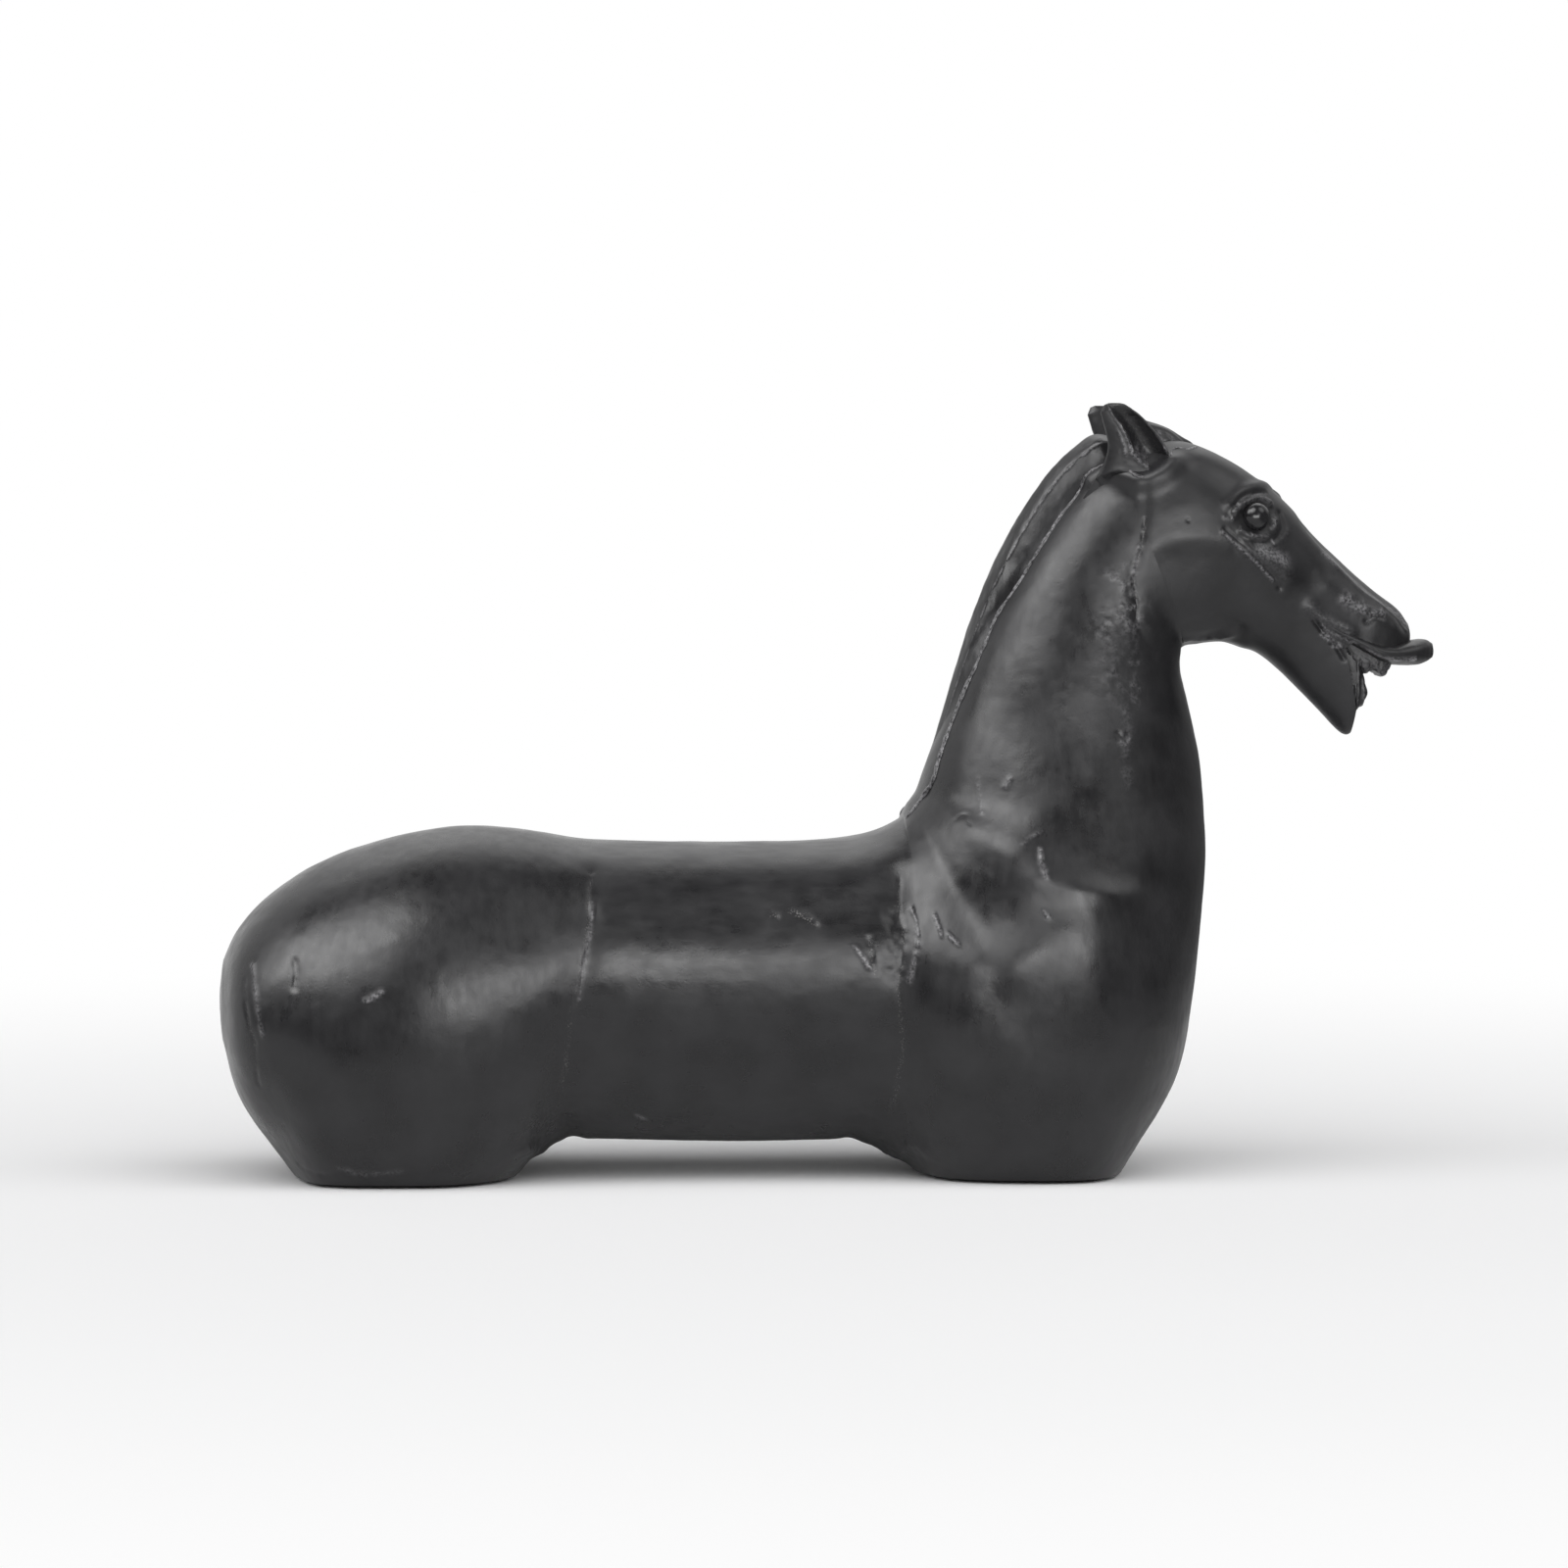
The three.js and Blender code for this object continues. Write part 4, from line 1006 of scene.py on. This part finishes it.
def ear(side, name):
    """One ear with its rough lines."""
    grid = ear_place(leaf_grid, side)
    rows, count = grid.shape[:2]
    fine, broad = (noise(grid.reshape(-1, 3), size * MM, seed + side).reshape(rows, count)
                   for size, seed in ((1.7, 400), (5, 410)))
    rim = line_at(-1.03, 0.13, [0, 0.1], [0, 1])
    second = line_at(-1.45, 0.1, [0.3, 0.4, 0.6, 0.7], [0, 1, 1, 0])
    torn = line_at(-0.7, 0.45, [0, 0.06, 0.15, 0.32, 0.45], [0, 0.6, 1, 0.7, 0])
    front = line_at(1.06, 0.1, [0, 0.1, 0.7, 0.9], [1, 1, 0.6, 0])
    lift = 0.1 * MM * broad + 0.05 * MM * fine
    lift += MM * (0.45 * rim * (1 + 0.6 * fine) + 0.3 * second + 0.4 * torn * fine
                  + 0.25 * front * (1 + 0.8 * fine))
    # Lighter paint on the rough lines and the torn patch: worn metal, and painted highlights on the
    # ridges
    wear_and_highlight = (rim * (0.6 + 0.5 * fine) + 0.5 * second + torn * (0.45 + 0.8 * fine)
            + front * (0.25 + 0.6 * fine))
    faces = [face[::side] for face in closed(rows, count)]  # the right ear's faces turn round
    return finished(f"{name}_ear_leaf", moved(grid, outward(grid) * side, lift), faces,
                    np.clip(wear_and_highlight, 0, 1), leaf_hollow * 0.15, sharp=50)


ears = {name: ear(side, name) for side, name in SIDES}
print("ear", len(ears["right"].data.polygons), "faces")

# %% [markdown]
# ## Forelock
# A tuft of hair lies between the ears and runs out on the forehead. Its sides are ragged, and
# shallow strands run along it. The same kind of loft is used as for the body, with few sections.

# %% Forelock
TUFT_HALF, TUFT_DEEP = 12, 18  # in millimetres


def tuft(along, up, wide):
    """One section of the tuft: a place on the forehead and a share of its half width."""
    x, z = head(along, up)
    return x, z, x, z - TUFT_DEEP * MM, wide * TUFT_HALF * MM, 0.4, 0.1


def small_loft(name, rows, tip, step, count, shape):
    """A loft of a few sections, with a rounded tip, moved by a function of its points."""
    fine = blurred(through(rows, np.arange((len(rows) - 1) * FINE + 1) / FINE), 0.12 * FINE)
    grid = list(rings(at(spaced(0, len(rows) - 1, step, fine, FINE), fine, FINE), count, 0.1 * MM))
    if tip is not None:
        grid += pole_rings(grid[-1], tip, 10, 2)
    grid = np.array(grid)
    lift, wear_and_highlight = shape(grid.reshape(-1, 3), grid)
    points = moved(grid, outward(grid), lift)
    return finished(name, points, closed(len(grid), count), wear_and_highlight, sharp=45)


def strands(points, grid):
    """Hair: shallow strands along the head, broken near the sides."""
    side = points[:, 1] / (TUFT_HALF * MM)
    wave = np.sin(points[:, 1] / MM * 2.4 + 1.5 * noise(points, 8 * MM, 500))
    rough = noise(points, 1.9 * MM, 501)
    lift = 0.1 * MM * wave + 0.2 * MM * rough * np.abs(side)
    return lift, np.clip(np.abs(side) * 1.6 - 0.9 + 0.5 * rough, 0, 1)


TUFT = [(0.035, 0.14, 0.7), (0.08, 0.156, 0.8), (0.11, 0.15, 0.86), (0.178, 0.124, 0.86),
        (0.23, 0.09, 0.62), (0.262, 0.07, 0.42), (0.285, 0.04, 0.22)]
forelock = small_loft("forelock_tuft", [tuft(*row) for row in TUFT], None, 0.6 * MM, 140, strands)
print("forelock", len(forelock.data.polygons), "faces")

# %% [markdown]
# ## Lips, teeth and tongue
# The upper lip is a band that flares round the muzzle and ends in a tip ahead of the nose. Its
# outer edge carries a fine raised line. Under it hang the teeth, and the tongue fills the back of
# the mouth and hangs over the jaw. These small pieces are soldered in, so they sink a little into
# what carries them.

# %% Lip band
LIP_WIDTH = (0.52 * 58 / 2 + 2.6) * MM  # half of it
NOSE_X = POLL_X + HEAD


def slice_of_lip(x, up, wide, thick):
    """One section of the band: its place, and shares of its half width and its thickness."""
    z = head(0, up)[1]
    return x, z, x, z - thick * 8 * MM, wide * LIP_WIDTH, 0.3, 0.3


def lip_shape(points, grid):
    """A fine raised line round the lower edge, and lumps where the file didn't reach."""
    low, high = grid[..., 2].min(axis=1, keepdims=True), grid[..., 2].max(axis=1, keepdims=True)
    share = (grid[..., 2] - low) / (high - low)
    out = np.abs(grid[..., 1])
    side = np.clip((out / out.max(axis=1, keepdims=True) - 0.8) / 0.1, 0, 1)
    side = side * (grid[..., 0] < NOSE_X + 1 * MM)
    lower, upper = ((side * np.exp(-((share - at_share) / 0.1) ** 2)).ravel()
                    for at_share in (0.25, 0.88))
    rough = noise(points, 2.5 * MM, 510)
    lift = 0.35 * MM * lower + 0.15 * MM * upper + 0.08 * MM * rough
    lift += 0.12 * MM * noise(points, 6 * MM, 511)
    return lift, np.clip(lower * (0.7 + 0.5 * rough) + 0.35 * upper * (0.5 + rough), 0, 1)


LIP_ROWS = [(head(0.68, 0)[0], -0.585, 0.98, 0.4), (head(0.72, 0)[0], -0.61, 1, 0.52),
            (head(0.8, 0)[0], -0.648, 1.02, 0.68), (head(0.9, 0)[0], -0.686, 1, 1),
            (NOSE_X, -0.673, 0.84, 1.35), (NOSE_X + 0.6 * LIP, -0.669, 0.62, 1.25),
            (NOSE_X + 0.93 * LIP, -0.683, 0.34, 0.8)]
lip = small_loft("upper_lip_band", [slice_of_lip(*row) for row in LIP_ROWS],
                 (NOSE_X + LIP, head(0, -0.715)[1]), 0.5 * MM, 150, lip_shape)
print("lip", len(lip.data.polygons), "faces")

# %% Teeth and tongue
def pillow(name, corners, half_width, shape, power, rows=60, count=150):
    """A rounded block: an outline in the plane of symmetry that shrinks towards both sides."""
    ring = np.array([*corners, corners[0]])
    loop = smooth_line(np.column_stack([ring[:, 0], np.zeros(len(ring)), ring[:, 1]]), 0.25 * MM)
    walked = np.linspace(0, len(loop) - 1, count, endpoint=False)
    loop = np.column_stack([np.interp(walked, np.arange(len(loop)), axis) for axis in loop.T])
    middle = loop.mean(axis=0)
    places = np.sin(np.linspace(-1, 1, rows) * math.pi / 2) * 0.995
    grid = np.array([middle + (loop - middle) * (1 - abs(t) ** power) ** (1 / power)
                     + [0, t * half_width, 0] for t in places])
    normals = outward(grid)
    if ((grid - grid.mean(axis=(0, 1))) * normals).sum() < 0:
        normals = -normals
    lift, wear_and_highlight, dust = shape(grid.reshape(-1, 3), middle)
    obj = finished(name, moved(grid, normals, lift), closed(rows, count), wear_and_highlight, dust)
    faces_out(obj.data)
    shade(obj.data, 50)
    return obj


def tooth_marks(points, middle):
    """Grooves between the teeth, deeper at the biting edge."""
    low = np.clip((middle[2] - points[:, 2]) / (4 * MM), 0, 1)
    groove = np.maximum(0, np.cos(points[:, 0] / MM * 1.55 + 0.4)) ** 6
    front = np.maximum(0, np.cos(points[:, 1] / MM * 1.3)) ** 6
    lift = -0.5 * MM * low * groove - 0.3 * MM * low * front
    return lift + 0.1 * MM * noise(points, 1.8 * MM, 520), 0.25 * low, 0.4 * groove * low


def gum_marks(points, middle):
    """Upright folds on the tongue and the gum."""
    wave = np.sin(points[:, 0] / MM * 2.5 + 1.2 * noise(points, 5 * MM, 530))
    rough = noise(points, 1.7 * MM, 531)
    return 0.32 * MM * wave + 0.16 * MM * rough, np.clip(wave + rough - 0.5, 0, 1) * 0.5, 0


UPPER_TEETH = outline((0.7, -0.6), (0.83, -0.63), (0.945, -0.68), (0.93, -0.77), (0.905, -0.81),
                      (0.87, -0.79), (0.834, -0.795), (0.76, -0.71))
TONGUE = outline((0.69, -0.63), (0.747, -0.65), (0.815, -0.69), (0.835, -0.735), (0.835, -0.797),
                 (0.848, -0.84), (0.852, -0.877), (0.839, -0.912), (0.81, -0.932), (0.78, -0.877),
                 (0.75, -0.761), (0.71, -0.68))
teeth = pillow("upper_teeth_row", UPPER_TEETH, 11 * MM, tooth_marks, power=6)
tongue = pillow("tongue_fold", TONGUE, 10.5 * MM, gum_marks, power=5)
print("teeth and tongue", [len(obj.data.polygons) for obj in (teeth, tongue)], "faces")

# %% [markdown]
# ## The patina
# The finish is a near-black satin patina under wax. Its tone wanders a little, its gloss wanders
# more, fine pits and file strokes break up the reflections, and raised lines are painted lighter:
# partly worn metal, partly painted highlight.
# All of it is made from coordinates on the object, so it stays on the metal from every side.

# %% Small node helpers
def plug(socket, value):
    """Sets an input, or links it where the value is a node or one of its outputs."""
    if isinstance(value, bpy.types.Node):
        value = value.outputs[0]
    if isinstance(value, bpy.types.NodeSocket):
        socket.id_data.links.new(value, socket)
    else:
        socket.default_value = value


def feed(node, **values):
    """Fills a node's inputs and properties; an underscore stands for a space in an input's name."""
    for key, value in values.items():
        name = key.replace("_", " ")
        if name in node.inputs:
            plug(node.inputs[name], value)
        else:
            setattr(node, key, value)
    return node


def add(beside, kind, **values):
    """A new node in the tree of another node or socket."""
    return feed(beside.id_data.nodes.new(f"ShaderNode{kind}"), **values)


def waves(place, scale, detail, stretch=(1, 1, 1), seed=0.0):
    """Soft random tones: features of one over the scale metres."""
    shift = (seed, seed * 0.7, seed * 1.3)
    drawn_out = add(place, "Mapping", Vector=place, Location=shift, Scale=stretch)
    return add(place, "TexNoise", Vector=drawn_out, Scale=scale, Detail=detail).outputs["Fac"]


def ranged(value, low, high, to_low=0.0, to_high=1.0, kind="LINEAR"):
    """A value taken from one range to another, and held at its ends."""
    return add(value, "MapRange", Value=value, From_Min=low, From_Max=high, To_Min=to_low,
               To_Max=to_high, interpolation_type=kind).outputs["Result"]


def maths(operation, a, b):
    """The sum, the product or the larger one of two values."""
    node = add(a, "Math", operation=operation)
    plug(node.inputs[0], a)
    plug(node.inputs[1], b)
    return node.outputs[0]


def mixed(amount, a, b):
    """Colour a, or b where the amount is 1."""
    node = add(amount, "Mix", data_type="RGBA", Factor=amount)
    for socket, value in zip([s for s in node.inputs if s.type == "RGBA"], (a, b)):
        plug(socket, (*value, 1) if isinstance(value, tuple) else value)
    return [s for s in node.outputs if s.type == "RGBA"][0]


def painted(name):
    """A new material and its shader."""
    material = bpy.data.materials.new(name)
    material.use_nodes = True
    return material, material.node_tree.nodes["Principled BSDF"]


print("node helpers ready")

# %% Patina material
DARK, LIGHTER = (0.009, 0.0088, 0.0097), (0.0152, 0.0149, 0.0163)
# The lighter tone serves worn metal and the painted highlights on ridges; the other is dust
RUBBED_AND_HIGHLIGHT, DUSTY = (0.19, 0.186, 0.194), (0.2, 0.195, 0.19)
NEAR_HEAD = (0.105, 0.13)  # the stretch of X where the neck comes up to the head


def patina(name, stroke, gloss=0.0, pitting=0.25, duller=0.0):
    """The black finish. Its file strokes are long on the axis where stroke has its smallest number.

    It gets duller towards the head where that is asked for, so that the neck meets the head evenly.
    """
    material, shader = painted(name)
    place = add(shader, "TexCoord").outputs["Object"]
    wear_and_highlight, dust = (add(shader, "Attribute", attribute_name=key).outputs["Fac"]
                  for key in ("wear_and_highlight", "dust"))
    clouds = waves(place, 45, 4)
    grain = waves(place, 900, 3, seed=3)
    strokes = waves(place, 260, 4, stretch=stroke, seed=5)
    specks = waves(place, 1500, 2, seed=9)

    # The tone wanders, worn metal and painted highlights on ridges are lighter, and specks of dust
    # lie in the hollows
    rubbed_and_highlight = maths("MULTIPLY", wear_and_highlight, ranged(grain, 0.35, 0.6))
    dusty = maths("MULTIPLY", dust, ranged(specks, 0.56, 0.66))
    tone = mixed(rubbed_and_highlight, mixed(ranged(clouds, 0.35, 0.65), DARK, LIGHTER), RUBBED_AND_HIGHLIGHT)
    tone = mixed(dusty, tone, DUSTY)

    # The gloss wanders more, and dust is dull
    along = add(shader, "SeparateXYZ", Vector=place).outputs["X"]
    matt = maths("ADD", ranged(clouds, 0.3, 0.7, 0.24 - gloss, 0.38 - gloss),
                 ranged(strokes, 0.3, 0.7, -0.04, 0.05))
    matt = maths("ADD", matt, ranged(along, *NEAR_HEAD, 0, duller))
    matt = maths("ADD", matt, ranged(dusty, 0, 1, 0, 0.3))

    # File strokes, grain, and pits that lie in patches
    pits = add(shader, "TexVoronoi", Vector=place, Scale=420).outputs["Distance"]
    pitted = maths("MULTIPLY", ranged(pits, 0.05, 0.3, -1, 0),
                   ranged(waves(place, 60, 3, seed=13), 0.52, 0.66))
    height = maths("ADD", maths("MULTIPLY", strokes, 0.55), maths("MULTIPLY", grain, 0.3))
    height = maths("ADD", height, maths("MULTIPLY", pitted, pitting))
    bump = add(shader, "Bump", Height=height, Strength=0.35, Distance=0.25 * MM)
    feed(shader, Base_Color=tone, Roughness=matt, Normal=bump, Metallic=0.0, IOR=1.42,
         Specular_IOR_Level=0.5)
    return material


along_patina = patina("patina_long_strokes", (0.3, 1, 1))
upright_patina = patina("patina_upright_strokes", (1, 1, 0.3), duller=0.07)
head_patina = patina("patina_head", (0.5, 1, 0.7), gloss=-0.07, pitting=0.2)
eye_patina = patina("patina_polished", (1, 1, 1), gloss=0.12, pitting=0.1)
print("four finishes of one patina")

# %% Felt of the pads
felt, felt_shader = painted("felt")
fibres = waves(add(felt_shader, "TexCoord").outputs["Object"], 2200, 4, seed=2)
felt_tone = mixed(ranged(fibres, 0.3, 0.7), (0.004, 0.004, 0.004), (0.012, 0.012, 0.012))
felt_bump = add(felt_shader, "Bump", Height=fibres, Strength=0.6, Distance=0.3 * MM)
feed(felt_shader, Base_Color=felt_tone, Roughness=0.95, Sheen_Weight=0.2, Normal=felt_bump)
print("felt ready")

# %% [markdown]
# ## Put the pieces on the frame
# Every piece rides on the horse's one body, and hides the plain piece of the frame that it stands
# for. The felt pads keep the frame's own shape and only get a finish.

# %% Finishes and places
PIECES = [
    (hindquarters, "hindquarters", upright_patina, "patina"),
    (barrel, "barrel", along_patina, "patina"),
    (forequarters, "forequarters", upright_patina, "patina"),
    (neck_casting, "neck", upright_patina, "patina"),
    (head_skin, "skull", head_patina, "patina"),
    (lower_jaw, "lower_jaw", head_patina, "patina"),
    (mane, "mane", upright_patina, "patina"),
    (forelock, "forelock", head_patina, "patina"),
    (lip, "upper_lip", head_patina, "patina"),
    (teeth, "upper_teeth", upright_patina, "patina"),
    (tongue, "tongue", upright_patina, "patina"),
    (ears["left"], "left_ear", upright_patina, "patina"),
    (ears["right"], "right_ear", upright_patina, "patina"),
    (eyes["left"], "left_eye", eye_patina, "eye"),
    (eyes["right"], "right_eye", eye_patina, "eye"),
]
for obj, node, finish, slot in PIECES:
    obj.data.materials.clear()
    obj.data.materials.append(finish)
    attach(obj, "root")
    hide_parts(node)
for obj in beads:
    obj.data.materials.append(upright_patina)
    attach(obj, "root")
for node in ("hind_pad", "fore_pad"):
    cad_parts[node].data.materials.clear()
    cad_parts[node].data.materials.append(felt)
print(len(PIECES) + len(beads), "pieces on the frame")

# %% [markdown]
# ## Floor, backdrop and light
# The horse stands on white paper that runs on into a white background. Satin black metal shows
# mostly what it mirrors, so the light comes in two parts: the room's light, which falls on the
# paper, and what the metal sees. The kind of a ray tells them apart.

# %% Floor
def in_sight(node):
    """Outputs that name the kind of a ray, and 1 for what the camera sees, straight or mirrored."""
    path = add(node, "LightPath").outputs
    straight = maths("MAXIMUM", path["Is Camera Ray"], path["Is Glossy Ray"])
    return path, maths("MAXIMUM", straight, path["Is Transmission Ray"])


def chosen(amount, a, b, output):
    """Leads shader a to the output, or b where the amount is 1."""
    choice = add(output, "MixShader", Fac=amount)
    plug(choice.inputs[1], a)
    plug(choice.inputs[2], b)
    feed(output, Surface=choice)


WIDE = 20  # metres from the horse to the edge of the paper
corners = [(x * WIDE, y * WIDE, 0) for x, y in ((-1, -1), (1, -1), (1, 1), (-1, 1))]
floor = solid("floor", corners, [(0, 1, 2, 3)])
paper, sheet = painted("white_paper")
feed(sheet, Base_Color=(0.93, 0.93, 0.935, 1), Roughness=0.9, Specular_IOR_Level=0.1)

# Far from the horse the paper glows like the background, and near it the shadow stays. A dark
# flag on the right shows only in the metal.
spot = add(sheet, "TexCoord").outputs["Object"]
away = add(sheet, "VectorMath", operation="LENGTH", Vector=spot).outputs["Value"]
fade = ranged(away, 0.2, 1.3, kind="SMOOTHSTEP")
path, seen = in_sight(sheet)
rightward = add(sheet, "SeparateXYZ", Vector=spot).outputs["X"]
flag = maths("MULTIPLY", ranged(rightward, 0.2, 0.6), path["Is Glossy Ray"])
glow = add(sheet, "Emission", Strength=ranged(flag, 0, 1, 1, 0.12))
chosen(maths("MAXIMUM", maths("MULTIPLY", seen, fade), flag), sheet, glow,
       paper.node_tree.nodes["Material Output"])
floor.data.materials.append(paper)
print("white paper laid out")

# %% [markdown]
# The room's soft light comes from above and from the front, and draws the shadow on the paper.
# The camera sees plain white behind the horse. The metal mirrors white paper behind it, a dark
# room in front, and round softboxes with soft edges, which lie as broad highlights on haunch,
# barrel and shoulder.

# %% World
world = bpy.data.worlds.new("studio")
bpy.context.scene.world = world
world.use_nodes = True
room = world.node_tree.nodes["Background"]
facing_way = add(room, "TexCoord").outputs["Generated"]
way = add(room, "SeparateXYZ", Vector=facing_way).outputs
overhead = ranged(way["Z"], 0.05, 0.7, 1.2, 2.1)
frontal = ranged(way["Y"], -0.35, 0.2, 1.0, 0.05)
feed(room, Color=(1, 1, 1, 1), Strength=maths("MULTIPLY", overhead, frontal))


def around(azimuth, height, distance=1.0, level=0.0):
    """A place round the horse: degrees from straight ahead of its right side, and degrees up."""
    a, h = math.radians(azimuth), math.radians(height)
    level_reach = distance * math.cos(h)
    return level_reach * math.sin(a), -level_reach * math.cos(a), level + distance * math.sin(h)


def patch(azimuth, height, inner, outer, strength):
    """A round softbox as the metal mirrors it, with a soft edge between two angles."""
    near = add(room, "VectorMath", operation="DOT_PRODUCT")
    plug(near.inputs[0], facing_way)
    plug(near.inputs[1], around(azimuth, height))
    edge, full = (math.cos(math.radians(angle)) for angle in (outer, inner))
    return ranged(near.outputs["Value"], edge, full, 0, strength, kind="SMOOTHSTEP")


# The paper: behind the horse and below a height, and on the right dark near the floor
behind = ranged(way["Y"], -0.1, 0.35)
low = ranged(way["Z"], 0.98, 0.8)
right_side = maths("MAXIMUM", ranged(way["X"], 0.15, 0.6, 1, 0.12), ranged(way["Z"], 0.15, 0.4))
paper_seen = maths("MULTIPLY", maths("MULTIPLY", behind, low), right_side)
mirrored = ranged(paper_seen, 0, 1, 0.08, 1)

# The softboxes: azimuth, height, inner and outer angle, and strength
PATCHES = [(-44, 52, 6, 24, 6.5), (-78, 36, 5, 21, 4.8), (60, 48, 6, 25, 2.4),
           (18, 15, 4, 17, 1.2), (180, 58, 8, 32, 0.9)]
for values in PATCHES:
    mirrored = maths("ADD", mirrored, patch(*values))
path, seen = in_sight(room)
shown = add(room, "Mix", data_type="FLOAT", Factor=path["Is Camera Ray"], A=mirrored, B=1.0)
backdrop = add(room, "Background", Color=(1, 1, 1, 1), Strength=shown.outputs["Result"])
chosen(seen, room, backdrop, world.node_tree.nodes["World Output"])
print("room, backdrop and", len(PATCHES), "softboxes")

# %% [markdown]
# Three flat lamps add highlights with straighter edges: one from the left and above, a card in
# front of the shoulder, and one above and behind the back. They show only as reflections in the
# metal, and throw no light on the paper.

# %% Lamps
def softbox(name, place, target, width, height, power):
    """A flat lamp that only the mirror image in the metal shows."""
    lamp = bpy.data.lights.new(name, "AREA")
    lamp.shape, lamp.size, lamp.size_y, lamp.energy = "RECTANGLE", width, height, power
    obj = placed(name, lamp)
    pointed(obj, place, target)
    obj.visible_diffuse = False


MIDDLE = (0, 0, 0.15)
softbox("left_softbox", around(-52, 42, 2.0, 0.15), MIDDLE, 1.3, 1.0, 8)
softbox("front_card", (0.13, -0.56, 0.27), (0.1, 0, 0.1), 0.46, 0.18, 1.9)
softbox("back_softbox", around(180, 66, 2.0, 0.15), MIDDLE, 2.0, 0.9, 4)
bpy.context.scene.view_settings.view_transform = "Standard"
print("lamps on")
